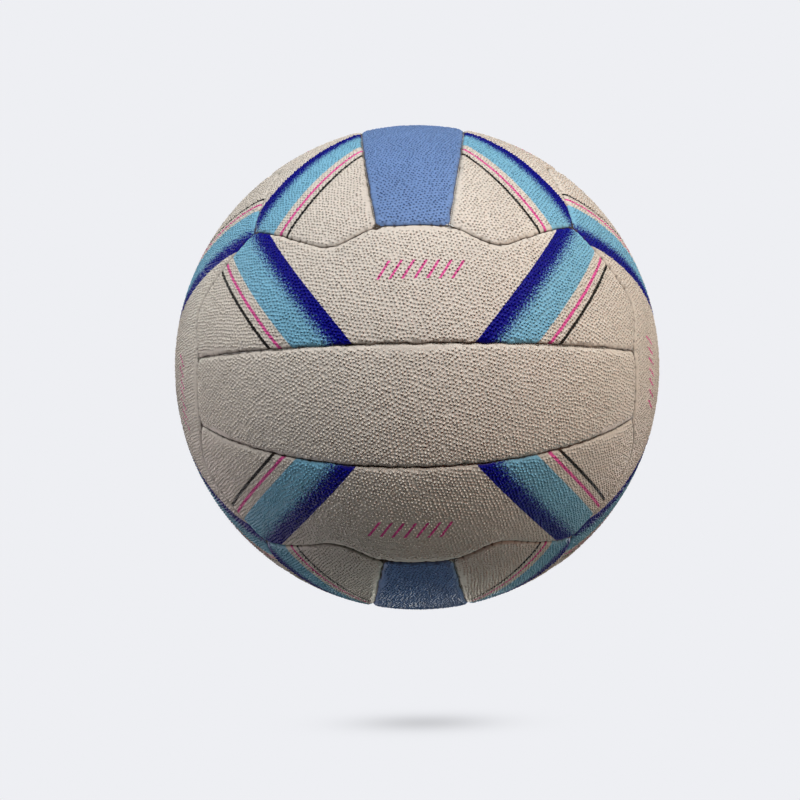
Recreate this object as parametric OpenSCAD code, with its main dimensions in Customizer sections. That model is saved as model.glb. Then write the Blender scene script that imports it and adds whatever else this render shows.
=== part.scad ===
// Hand-stitched netball with eighteen panels.
// Six faces carry three strips each: a straight middle strip between two outer strips.
// Strips on neighbouring faces run square to each other, and the seams between faces are wavy.
// Under each rubber cover lies a cloth lining, then the thread of the seams, then the bladder.
// Lengths are in millimetres and angles in degrees. The origin is the ball's centre,
// -Y is the front, +Z is up, and the valve points backwards along +Y.

/* [Ball] */
// Distance round the inflated ball
ball_circumference = 700; // [690:1:710]

/* [Cover panels] */
// Thickness of the rubber cover
cover_t = 1.3; // [1.1:0.1:1.8]
// Gap between two covers at a seam
seam_gap = 0.3; // [0.2:0.05:0.6]
// Width of the rolled edge round each cover
rim_w = 1.5; // [0.8:0.1:2]
// Depth of the rolled edge below the ball's surface
rim_h = 0.9; // [0.5:0.05:1]

/* [Linings] */
// Thickness of the laminated cloth under each cover
lining_t = 1.0; // [0.9:0.1:1.5]
// Glue line between a cover and its lining
glue_t = 0.05; // [0.03:0.01:0.1]

/* [Seam layout] */
// Tilt of the plane of a straight seam from the middle of its face
strip_tilt = 11.9; // [11:0.1:13]
// How far round from the middle of its face a wavy seam lies where strips butt against it
butt_angle = 36.3; // [35.5:0.1:37]
// How far round a wavy seam lies at the bottom of its dip
dip_angle = 33.0; // [32:0.1:34]
// How far along its strip a wavy seam reaches the bottom of its dip
dip_along_angle = 16.5; // [15:0.1:18]
// Roundness of the dip
dip_round_angle = 3; // [2:0.1:5]

/* [Thread] */
// Thickness of the waxed thread
thread_d = 0.8; // [0.6:0.05:0.8]
// Space left round the thread
thread_clearance = 0.1; // [0.05:0.01:0.2]

/* [Bladder] */
// Thickness of the bladder's wall
bladder_t = 0.7; // [0.5:0.05:1]
// Space between the linings and the bladder
bladder_gap = 0.1; // [0.05:0.01:0.2]

/* [Valve] */
// Outer diameter of the valve's neck
neck_d = 8; // [7.6:0.1:9]
// Space round the neck in the cover, the lining and the bladder
neck_clearance = 0.1; // [0.05:0.01:0.2]
// How far the neck's end lies below the cover's surface
neck_sink = 0.25; // [0.1:0.05:0.5]
// Length of the neck from its outer end to its inner end
neck_l = 17; // [15:0.5:20]
// Diameter of the flange that is glued inside the bladder
flange_d = 26; // [22:1:32]
// Thickness of the flange
flange_t = 1.4; // [1:0.1:2]
// Glue line between the flange and the bladder
flange_glue_t = 0.05; // [0.03:0.01:0.1]
// Diameter of the plug that is pushed into the neck
plug_d = 5; // [4.6:0.1:5.2]
// Space between the plug and the neck
plug_clearance = 0.05; // [0.03:0.01:0.08]
// Diameter of the ring that keeps the plug in the neck
bead_d = 6; // [5.8:0.1:6.2]
// Width of that ring
bead_w = 2; // [1.5:0.1:2.5]
// Distance from the neck's outer end to the middle of that ring
bead_depth = 8; // [7:0.5:9]
// Diameter of the inflating needle that the valve takes
needle_d = 2; // [1.9:0.05:2.1]
// Space round the needle in the plug
needle_clearance = 0.05; // [0.03:0.01:0.08]
// Length of the straight needle hole
needle_hole_l = 8; // [7:0.5:9]
// Diameter of the dish that guides the needle
dish_d = 3.8; // [3.2:0.1:4]
// Depth of that dish
dish_h = 0.8; // [0.5:0.1:1]

/* [Hidden] */

// Radii of the layers, from the outside in
ball_r = ball_circumference / (2 * PI);
cover_inner_r = ball_r - cover_t;
lining_outer_r = cover_inner_r - glue_t;
lining_inner_r = lining_outer_r - lining_t;
bladder_outer_r = lining_inner_r - bladder_gap;
bladder_inner_r = bladder_outer_r - bladder_t;
flange_outer_r = bladder_inner_r - flange_glue_t;
thread_r = cover_inner_r - thread_clearance - thread_d / 2;

// Distances from a seam's middle line to the edges on either side of it
cover_inset = seam_gap / 2;
lining_inset = thread_d / 2 + thread_clearance;

// A cube's corner, seen from the ball's centre: how far along a strip it lies, and how far round
corner_along = asin(1 / sqrt(3));
corner_round = 45;
// How far along a wavy seam the straight seams butt against it
butt_along = atan(sin(butt_angle) * tan(strip_tilt));
// How steeply a wavy seam climbs from its dip to the cube's corner
climb = (corner_round - dip_angle)
      / (norm([corner_along - dip_along_angle, dip_round_angle]) - dip_round_angle);
// Half the length of a straight seam, as an angle
strip_half = asin(cos(butt_along) * cos(butt_angle));

// Numbers of segments along a wavy seam: where strips butt, into the dip, round it and out of it
butt_steps = 4;
into_dip_steps = 3;
dip_steps = 5;
out_of_dip_steps = 5;
// Numbers of segments along a straight seam, for a cover and for a lining
strip_steps = 26;
lining_strip_steps = 6;
// Sides of a wavy seam's thread
thread_sides = 6;
$fn = 180;

// Height of a cutter's top and of a lining cutter's upper ring, in ball radii
peak_share = 3;
lining_ring_share = 1.3;
// A quarter round rim's middle point, as a share of its width and of its depth
rim_mid_share = 1 - cos(45);
// How far a cutter's slanted rim runs on past the ball's surface, as a share of its last step
rim_over_share = 0.35;
// Where the peak of an outer strip's cutter stands between the strip's two long seams
peak_round_share = 0.4;

// Placing: third turns about the corner where the front, right and top faces meet, then a half turn
meeting_corner = [1, -1, 1];
about_x = [1, 0, 0];
about_y = [0, 1, 0];
about_z = [0, 0, 1];
front_turn_angle = 0;
right_turn_angle = 120;
top_turn_angle = 240;

// Colours of the rubber, the cloth, the thread and the bladder
cream = [0.83, 0.79, 0.73];
blue = [0.33, 0.45, 0.75];
cloth = [0.92, 0.92, 0.9];
thread_white = [0.75, 0.73, 0.7];
black_rubber = [0.1, 0.1, 0.1];
grey_rubber = [0.35, 0.35, 0.36];

// A vector drawn to unit length
function unit(v) = v / norm(v);

// A smooth step from 0 to 1
function ease(u) = (sin(90 * u) + (1 - cos(180 * u)) / 2) / 2;

// How far round the strip's axis a wavy seam lies, at a given way along the strip
function seam_round(along) =
    let (a = abs(along))
    a <= butt_along ? butt_angle
    : a <= dip_along_angle
        ? butt_angle - (butt_angle - dip_angle) * ease((a - butt_along) / (dip_along_angle - butt_along))
        : dip_angle + climb * (norm([a - dip_along_angle, dip_round_angle]) - dip_round_angle);

// A direction on the front face, from a way along X and a way round X
function on_front(along, round) =
    [sin(along), -cos(along) * cos(round), cos(along) * sin(round)];

// A number of even steps from one value up to another, without the last
function steps(from, to, n) = [for (i = [0 : n - 1]) from + (to - from) * i / n];

// A list read from its end
function backwards(list) = [for (i = [len(list) - 1 : -1 : 0]) list[i]];

// Where the points of a wavy seam lie along it: from a butting strip's seam to the cube's corner
side_stops = concat(
    steps(butt_along, dip_along_angle - dip_round_angle, into_dip_steps),
    steps(dip_along_angle - dip_round_angle, dip_along_angle + dip_round_angle, dip_steps),
    steps(dip_along_angle + dip_round_angle, corner_along, out_of_dip_steps)
);
butt_stops = steps(-butt_along, butt_along, butt_steps);

// The wavy seam above the front face, and the seams that close the front face's ends
function upper_seam(along) = on_front(along, seam_round(along));
function right_seam(up) =
    [cos(up) * cos(seam_round(up)), -cos(up) * sin(seam_round(up)), sin(up)];
function left_seam(up) = [-right_seam(up).x, right_seam(up).y, right_seam(up).z];

// The outline of the front face's upper strip, anticlockwise from outside
function outer_outline(strip_n) = concat(
    [for (up = side_stops) right_seam(up)],
    [upper_seam(corner_along)],
    [for (along = backwards(side_stops)) upper_seam(along)],
    [for (along = backwards(butt_stops)) upper_seam(along)],
    [for (along = side_stops) if (along > butt_along) upper_seam(-along)],
    [left_seam(corner_along)],
    [for (up = backwards(side_stops)) if (up > butt_along) left_seam(up)],
    [for (along = steps(-strip_half, strip_half, strip_n)) on_front(along, strip_tilt)]
);

// The outline of the front face's middle strip, anticlockwise from outside
function middle_outline(strip_n) = concat(
    [for (up = butt_stops) right_seam(up)],
    [for (along = steps(strip_half, -strip_half, strip_n)) on_front(along, strip_tilt)],
    [for (up = butt_stops) left_seam(-up)],
    [for (along = steps(-strip_half, strip_half, strip_n)) on_front(along, -strip_tilt)]
);

// One direction of an outline, moved inwards square to the two edges that meet there
function moved_in(outline, i, angle) =
    let (
        n = len(outline),
        p = outline[i],
        before = unit(cross(outline[(i + n - 1) % n], p)),
        after = unit(cross(p, outline[(i + 1) % n])),
        inward = (before + after) / (1 + before * after)
    )
    sqrt(1 - pow(sin(angle), 2) * inward * inward) * p + sin(angle) * inward;

// A ring of points at one radius, drawn in from an outline by a distance along the ball
function ring(outline, radius, inset) =
    let (last = len(outline) - 1)
    [for (i = [0 : last]) radius * moved_in(outline, i, asin(inset / ball_r))];

// A solid that widens from the ball's centre through the rings and closes in a peak
module cutter(rings, peak) {
    n = len(rings[0]);
    last = len(rings) - 1;
    points = concat([[0, 0, 0]], [for (r = rings) each r], [peak]);
    foot_faces = [for (i = [0 : n - 1]) [1 + i, 1 + (i + 1) % n, 0]];
    wall_faces = [
        for (k = [0 : 1 : last - 1], i = [0 : n - 1])
            let (
                low = 1 + k * n,
                high = low + n,
                j = (i + 1) % n
            )
            each [[high + i, high + j, low + j], [high + i, low + j, low + i]]
    ];
    peak_faces = [for (i = [0 : n - 1]) [1 + last * n + (i + 1) % n, 1 + last * n + i, 1 + (last + 1) * n]];
    polyhedron(points, concat(foot_faces, wall_faces, peak_faces));
}

// A hollow ball between two radii
module shell(outer_r, inner_r) {
    difference() {
        sphere(r = outer_r);
        sphere(r = inner_r);
    }
}

// A cover: a piece of the outer shell with a rolled edge
module cover(outline, peak_round) {
    side_r = ball_r - rim_h;
    mid_r = ball_r - rim_h * rim_mid_share;
    mid_inset = cover_inset + rim_w * rim_mid_share;
    over_r = ball_r + (ball_r - mid_r) * rim_over_share;
    over_inset = cover_inset + rim_w + (cover_inset + rim_w - mid_inset) * rim_over_share;
    intersection() {
        shell(ball_r, cover_inner_r);
        cutter([
            ring(outline, side_r, cover_inset),
            ring(outline, mid_r, mid_inset),
            ring(outline, over_r, over_inset)
        ], peak_share * ball_r * on_front(0, peak_round));
    }
}

// A lining: a piece of the inner shell with square edges, clear of the thread
module lining(outline, peak_round) {
    intersection() {
        shell(lining_outer_r, lining_inner_r);
        cutter([ring(outline, ball_r * lining_ring_share, lining_inset)],
            peak_share * ball_r * on_front(0, peak_round));
    }
}

// Where the peak stands over an outer strip
outer_peak = strip_tilt + (dip_angle - strip_tilt) * peak_round_share;

// The four panel pieces, all as they lie on the front face
module outer_cover() { cover(outer_outline(strip_steps), outer_peak); }
module middle_cover() { cover(middle_outline(strip_steps), 0); }
module outer_lining() { lining(outer_outline(lining_strip_steps), outer_peak); }
module middle_lining() { lining(middle_outline(lining_strip_steps), 0); }

// Angle by which a thread stops short of the thread that it meets
thread_stop = asin((thread_d / 2 + 2 * thread_clearance) / thread_r);

// The thread of the wavy seam above the front face: one tube swept along the seam
module wavy_thread() {
    half = concat(side_stops, [corner_along - thread_stop]);
    along = concat(
        [for (a = backwards(half)) -a],
        [for (a = butt_stops) if (a > -butt_along) a],
        half
    );
    course = [for (a = along) thread_r * upper_seam(a)];
    last = len(course) - 1;
    hoops = [
        for (i = [0 : last])
            let (
                from = course[max(i - 1, 0)],
                to = course[min(i + 1, last)],
                out = unit(course[i]),
                side = unit(cross(to - from, out))
            )
            for (s = [0 : thread_sides - 1])
                course[i] + thread_d / 2
                    * (cos(360 * s / thread_sides) * out + sin(360 * s / thread_sides) * side)
    ];
    skin = [
        for (i = [0 : last - 1], s = [0 : thread_sides - 1])
            let (
                low = i * thread_sides,
                high = low + thread_sides,
                t = (s + 1) % thread_sides
            )
            each [[low + s, low + t, high + t], [low + s, high + t, high + s]]
    ];
    first_end = [[for (s = [0 : thread_sides - 1]) thread_sides - 1 - s]];
    last_end = [[for (s = [0 : thread_sides - 1]) last * thread_sides + s]];
    polyhedron(hoops, concat(skin, first_end, last_end));
}

// The threads of a face's two straight seams: a round arc on either side of its middle strip
module strip_threads() {
    reach = strip_half - thread_stop;
    for (tilt = [-strip_tilt, strip_tilt])
        rotate([tilt, 0, 0])
            rotate_extrude(angle = 2 * reach, start = -90 - reach)
                translate([thread_r, 0])
                    circle(d = thread_d, $fn = 48);
}

// Brings a piece from the front face to the face and side where it belongs
module put(face, turn = 0, axis = about_z) {
    rotate(turn, axis)
        rotate(face, meeting_corner)
            children();
}

// The hole for the valve's neck, through every layer at the back
module valve_hole() {
    rotate([-90, 0, 0])
        cylinder(d = neck_d + 2 * neck_clearance, h = 2 * ball_r);
}

// A turned piece on the valve's axis: depth 0 is the neck's outer end, and depth grows inwards
module turned_on_valve() {
    translate([0, ball_r - neck_sink, 0])
        rotate([90, 0, 0])
            rotate_extrude($fn = 96)
                children();
}

// Radii of the plug, its ring and its needle hole, and the depths of its steps
plug_r = plug_d / 2;
bead_r = bead_d / 2;
needle_hole_r = needle_d / 2 + needle_clearance;
bead_start = bead_depth - bead_w / 2;
bead_end = bead_depth + bead_w / 2;

// The plug's outline, grown all round by a clearance, as half a section
function plug_section(grow, outer_end, inner_end) = [
    [0, outer_end],
    [plug_r + grow, outer_end],
    [plug_r + grow, bead_start - grow],
    [bead_r + grow, bead_start - grow],
    [bead_r + grow, bead_end + grow],
    [plug_r + grow, bead_end + grow],
    [plug_r + grow, inner_end],
    [0, inner_end]
];

// The valve's seat: a flange inside the bladder and a neck through all the layers
module valve_seat_body() {
    over = neck_sink;
    difference() {
        union() {
            intersection() {
                shell(flange_outer_r, flange_outer_r - flange_t);
                rotate([-90, 0, 0])
                    cylinder(d = flange_d, h = ball_r);
            }
            turned_on_valve()
                square([neck_d / 2, neck_l]);
        }
        turned_on_valve()
            polygon(plug_section(plug_clearance, -over, neck_l + over));
    }
}

// The plug: a soft stopper with a dished needle hole that its closed inner end seals
module valve_plug_body() {
    difference() {
        turned_on_valve()
            polygon(plug_section(0, 0, neck_l));
        turned_on_valve()
            polygon([
                [0, -neck_sink],
                [dish_d / 2, -neck_sink],
                [dish_d / 2, 0],
                [needle_hole_r, dish_h],
                [needle_hole_r, dish_h + needle_hole_l],
                [0, dish_h + needle_hole_l]
            ]);
    }
}

// Cover panels of the front and back faces
module front_upper_panel() { color(cream) put(front_turn_angle) outer_cover(); }
module front_middle_panel() { color(cream) put(front_turn_angle) middle_cover(); }
module front_lower_panel() { color(cream) put(front_turn_angle, 180, about_y) outer_cover(); }
module back_upper_panel() { color(cream) put(front_turn_angle, 180, about_z) outer_cover(); }
module back_middle_panel() {
    color(cream)
        difference() {
            put(front_turn_angle, 180, about_z) middle_cover();
            valve_hole();
        }
}
module back_lower_panel() { color(cream) put(front_turn_angle, 180, about_x) outer_cover(); }

// Cover panels of the right and left faces
module right_front_panel() { color(cream) put(right_turn_angle) outer_cover(); }
module right_middle_panel() { color(cream) put(right_turn_angle) middle_cover(); }
module right_back_panel() { color(cream) put(right_turn_angle, 180, about_x) outer_cover(); }
module left_front_panel() { color(cream) put(right_turn_angle, 180, about_y) outer_cover(); }
module left_middle_panel() { color(cream) put(right_turn_angle, 180, about_z) middle_cover(); }
module left_back_panel() { color(cream) put(right_turn_angle, 180, about_z) outer_cover(); }

// Cover panels of the top and bottom faces
module top_right_panel() { color(cream) put(top_turn_angle) outer_cover(); }
module top_middle_panel() { color(blue) put(top_turn_angle) middle_cover(); }
module top_left_panel() { color(cream) put(top_turn_angle, 180, about_z) outer_cover(); }
module bottom_right_panel() { color(cream) put(top_turn_angle, 180, about_x) outer_cover(); }
module bottom_middle_panel() { color(blue) put(top_turn_angle, 180, about_x) middle_cover(); }
module bottom_left_panel() { color(cream) put(top_turn_angle, 180, about_y) outer_cover(); }

// Linings of the front and back faces
module front_upper_lining() { color(cloth) put(front_turn_angle) outer_lining(); }
module front_middle_lining() { color(cloth) put(front_turn_angle) middle_lining(); }
module front_lower_lining() { color(cloth) put(front_turn_angle, 180, about_y) outer_lining(); }
module back_upper_lining() { color(cloth) put(front_turn_angle, 180, about_z) outer_lining(); }
module back_middle_lining() {
    color(cloth)
        difference() {
            put(front_turn_angle, 180, about_z) middle_lining();
            valve_hole();
        }
}
module back_lower_lining() { color(cloth) put(front_turn_angle, 180, about_x) outer_lining(); }

// Linings of the right and left faces
module right_front_lining() { color(cloth) put(right_turn_angle) outer_lining(); }
module right_middle_lining() { color(cloth) put(right_turn_angle) middle_lining(); }
module right_back_lining() { color(cloth) put(right_turn_angle, 180, about_x) outer_lining(); }
module left_front_lining() { color(cloth) put(right_turn_angle, 180, about_y) outer_lining(); }
module left_middle_lining() { color(cloth) put(right_turn_angle, 180, about_z) middle_lining(); }
module left_back_lining() { color(cloth) put(right_turn_angle, 180, about_z) outer_lining(); }

// Linings of the top and bottom faces
module top_right_lining() { color(cloth) put(top_turn_angle) outer_lining(); }
module top_middle_lining() { color(cloth) put(top_turn_angle) middle_lining(); }
module top_left_lining() { color(cloth) put(top_turn_angle, 180, about_z) outer_lining(); }
module bottom_right_lining() { color(cloth) put(top_turn_angle, 180, about_x) outer_lining(); }
module bottom_middle_lining() { color(cloth) put(top_turn_angle, 180, about_x) middle_lining(); }
module bottom_left_lining() { color(cloth) put(top_turn_angle, 180, about_y) outer_lining(); }

// Threads of the wavy seams between faces
module front_top_thread() { color(thread_white) put(front_turn_angle) wavy_thread(); }
module front_bottom_thread() { color(thread_white) put(front_turn_angle, 180, about_y) wavy_thread(); }
module back_top_thread() { color(thread_white) put(front_turn_angle, 180, about_z) wavy_thread(); }
module back_bottom_thread() { color(thread_white) put(front_turn_angle, 180, about_x) wavy_thread(); }
module right_front_thread() { color(thread_white) put(right_turn_angle) wavy_thread(); }
module right_back_thread() { color(thread_white) put(right_turn_angle, 180, about_x) wavy_thread(); }
module left_front_thread() { color(thread_white) put(right_turn_angle, 180, about_y) wavy_thread(); }
module left_back_thread() { color(thread_white) put(right_turn_angle, 180, about_z) wavy_thread(); }
module top_right_thread() { color(thread_white) put(top_turn_angle) wavy_thread(); }
module top_left_thread() { color(thread_white) put(top_turn_angle, 180, about_z) wavy_thread(); }
module bottom_right_thread() { color(thread_white) put(top_turn_angle, 180, about_x) wavy_thread(); }
module bottom_left_thread() { color(thread_white) put(top_turn_angle, 180, about_y) wavy_thread(); }

// Threads of the straight seams beside each middle strip
module front_strip_threads() { color(thread_white) put(front_turn_angle) strip_threads(); }
module back_strip_threads() { color(thread_white) put(front_turn_angle, 180, about_z) strip_threads(); }
module right_strip_threads() { color(thread_white) put(right_turn_angle) strip_threads(); }
module left_strip_threads() { color(thread_white) put(right_turn_angle, 180, about_z) strip_threads(); }
module top_strip_threads() { color(thread_white) put(top_turn_angle) strip_threads(); }
module bottom_strip_threads() { color(thread_white) put(top_turn_angle, 180, about_x) strip_threads(); }

// The bladder, with a hole for the valve's neck
module bladder() {
    color(black_rubber)
        difference() {
            shell(bladder_outer_r, bladder_inner_r);
            valve_hole();
        }
}

// The two rubber pieces of the valve
module valve_seat() { color(grey_rubber) valve_seat_body(); }
module valve_plug() { color(black_rubber) valve_plug_body(); }

front_upper_panel();
front_middle_panel();
front_lower_panel();
back_upper_panel();
back_middle_panel();
back_lower_panel();
right_front_panel();
right_middle_panel();
right_back_panel();
left_front_panel();
left_middle_panel();
left_back_panel();
top_right_panel();
top_middle_panel();
top_left_panel();
bottom_right_panel();
bottom_middle_panel();
bottom_left_panel();
front_upper_lining();
front_middle_lining();
front_lower_lining();
back_upper_lining();
back_middle_lining();
back_lower_lining();
right_front_lining();
right_middle_lining();
right_back_lining();
left_front_lining();
left_middle_lining();
left_back_lining();
top_right_lining();
top_middle_lining();
top_left_lining();
bottom_right_lining();
bottom_middle_lining();
bottom_left_lining();
front_top_thread();
front_bottom_thread();
back_top_thread();
back_bottom_thread();
right_front_thread();
right_back_thread();
left_front_thread();
left_back_thread();
top_right_thread();
top_left_thread();
bottom_right_thread();
bottom_left_thread();
front_strip_threads();
back_strip_threads();
right_strip_threads();
left_strip_threads();
top_strip_threads();
bottom_strip_threads();
bladder();
valve_seat();
valve_plug();
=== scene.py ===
"""Looks of a hand-stitched netball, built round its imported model.

Eighteen covers of pimpled rubber, with rolled hems, stitch dents, a valve hole and printed
stripes, stand for the plain cover solids. The linings, threads, bladder and valve keep their
solids and get their finishes here. Lengths are in millimetres until a mesh is placed.
"""

from __future__ import annotations

import logging
import math
from collections.abc import Callable
from dataclasses import dataclass, field
from enum import Enum

import bpy
import numpy as np
from mathutils import Matrix, Vector
from mathutils.geometry import delaunay_2d_cdt
from mathutils.kdtree import KDTree

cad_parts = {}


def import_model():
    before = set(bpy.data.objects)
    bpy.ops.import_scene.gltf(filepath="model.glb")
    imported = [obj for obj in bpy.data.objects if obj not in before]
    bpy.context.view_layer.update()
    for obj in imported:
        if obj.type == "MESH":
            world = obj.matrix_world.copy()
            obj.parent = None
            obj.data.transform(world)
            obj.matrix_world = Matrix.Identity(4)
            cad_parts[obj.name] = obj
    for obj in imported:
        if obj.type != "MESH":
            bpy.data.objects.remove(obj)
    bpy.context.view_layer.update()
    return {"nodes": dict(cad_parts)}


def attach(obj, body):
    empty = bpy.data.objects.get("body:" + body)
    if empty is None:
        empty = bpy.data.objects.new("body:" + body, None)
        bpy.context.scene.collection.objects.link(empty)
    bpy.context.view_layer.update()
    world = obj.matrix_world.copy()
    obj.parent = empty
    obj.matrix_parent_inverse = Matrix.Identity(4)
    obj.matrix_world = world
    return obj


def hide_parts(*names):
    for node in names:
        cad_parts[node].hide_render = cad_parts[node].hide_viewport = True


LOG = logging.getLogger("netball")
MM = 0.001
BODY = "root"
PANEL_MAP = "Panel"
BAKE_MAP = "OFBake"
GRIP = "grip"
SEAM_WAY = "seam_way"
SOIL_AND_SHADE = "soil_and_shade"

SHARP_ANGLE = math.radians(75.0)
# The kind of triangulation that keeps only what lies inside the closed loops.
INSIDE_LOOPS = 1

Colour = tuple[float, float, float, float]
Socket = bpy.types.NodeSocket
Source = Socket | float | Colour
Curve = Callable[[np.ndarray], np.ndarray]


def unit_rows(rows: np.ndarray) -> np.ndarray:
    """Each row drawn to unit length."""
    return rows / np.linalg.norm(rows, axis=1, keepdims=True)


def smooth_step(value: np.ndarray, low: float, high: float) -> np.ndarray:
    """A smooth step from 0 at low to 1 at high."""
    share = np.clip((value - low) / (high - low), 0.0, 1.0)
    return share * share * (3.0 - 2.0 * share)


class PanelKind(Enum):
    """The two cuts of cover."""

    OUTER = "outer"
    MIDDLE = "middle"


class HalfTurn(Enum):
    """The half turn that brings a cover to its side of a pair of faces."""

    NONE = (0.0, 0.0, 0.0)
    ABOUT_X = (1.0, 0.0, 0.0)
    ABOUT_Y = (0.0, 1.0, 0.0)
    ABOUT_Z = (0.0, 0.0, 1.0)


class CoverShape(Enum):
    """The three shapes of cover, by the names of the meshes that they are copied from."""

    OUTER = "outer cover"
    MIDDLE = "middle cover"
    VALVE = "valve cover"


class CoverLook(Enum):
    """The three looks that a cover can have."""

    PLAIN = "plain"
    PRINTED = "printed"
    BLUE = "blue"


class Face(Enum):
    """The third turn, in degrees, about the corner where three faces meet."""

    FRONT = 0.0
    RIGHT = 120.0
    TOP = 240.0


@dataclass(frozen=True)
class SeamLayout:
    """Where the seams run on the ball.

    Every angle is in degrees and is seen from the ball's centre. An angle round is turned about
    the axis of a face's strips from the middle of the face, and an angle along goes along them.

    Attributes:
        ball_r: Radius over the tops of the pimples, in millimetres.
        strip_tilt: Angle round of the straight seams.
        butt_angle: Angle round of a wavy seam where the straight seams butt against it.
        dip_angle: Angle round of a wavy seam in its dips.
        dip_along_angle: Angle along of the dips.
        dip_round_angle: Rounding of the dips on the side of the cube's corners.
        corner_round: Angle round of the cube's corners.
        outer_mid: Angle round of the middle line of an outer cover.
    """

    ball_r: float = 111.408
    strip_tilt: float = 11.9
    butt_angle: float = 36.3
    dip_angle: float = 33.0
    dip_along_angle: float = 16.5
    dip_round_angle: float = 3.0
    corner_round: float = 45.0
    outer_mid: float = 24.0

    @property
    def corner_along(self) -> float:
        """How far along a strip the cube's corner lies."""
        return math.degrees(math.asin(1.0 / math.sqrt(3.0)))

    @property
    def butt_along(self) -> float:
        """How far along a wavy seam the straight seams butt against it."""
        tilt = math.tan(math.radians(self.strip_tilt))
        return math.degrees(math.atan(math.sin(math.radians(self.butt_angle)) * tilt))

    @property
    def strip_half(self) -> float:
        """Half the length of a straight seam."""
        along, turn = math.radians(self.butt_along), math.radians(self.butt_angle)
        return math.degrees(math.asin(math.cos(along) * math.cos(turn)))

    def seam_round(self, along: np.ndarray) -> np.ndarray:
        """How far round its strip's axis a wavy seam lies.

        Args:
            along: Ways along the strip.

        Returns:
            The angle round the axis at each of them.
        """
        way = np.abs(along)
        share = np.clip((way - self.butt_along) / (self.dip_along_angle - self.butt_along), 0.0, 1.0)
        quarter = np.sin(0.5 * math.pi * share)
        half = 0.5 * (1.0 - np.cos(math.pi * share))
        into = self.butt_angle - (self.butt_angle - self.dip_angle) * 0.5 * (quarter + half)
        reach = math.hypot(self.corner_along - self.dip_along_angle, self.dip_round_angle)
        climb = (self.corner_round - self.dip_angle) / (reach - self.dip_round_angle)
        past = np.hypot(way - self.dip_along_angle, self.dip_round_angle) - self.dip_round_angle
        out_of = self.dip_angle + climb * past
        return np.where(way <= self.dip_along_angle, into, out_of)

    def on_front(self, along: np.ndarray, round_angle: np.ndarray) -> np.ndarray:
        """Directions on the front face from angles along it and angles round."""
        way, turn = np.radians(along), np.radians(round_angle)
        return np.stack([np.sin(way), -np.cos(way) * np.cos(turn), np.cos(way) * np.sin(turn)], 1)

    def upper_seam(self, along: np.ndarray) -> np.ndarray:
        """The wavy seam above the front face."""
        return self.on_front(along, self.seam_round(along))

    def right_seam(self, up: np.ndarray) -> np.ndarray:
        """The wavy seam at the right end of the front face."""
        way, turn = np.radians(up), np.radians(self.seam_round(up))
        return np.stack([np.cos(way) * np.cos(turn), -np.cos(way) * np.sin(turn), np.sin(way)], 1)

    def left_seam(self, up: np.ndarray) -> np.ndarray:
        """The wavy seam at the left end of the front face."""
        return self.right_seam(up) * np.array([-1.0, 1.0, 1.0])


@dataclass(frozen=True)
class Outline:
    """A cover's outline, sampled closely, anticlockwise from outside.

    Attributes:
        points: Unit directions.
        along_seam: Millimetres from the middle of the seam that each point lies on.
        opening: How far the seam gapes at each point, from 0 to 1.
        corners: Unit directions of the corners and of the neighbours' corners that meet it.
        pinch: How hard each of those corners is drawn in.
    """

    points: np.ndarray
    along_seam: np.ndarray
    opening: np.ndarray
    corners: np.ndarray
    pinch: np.ndarray


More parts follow.
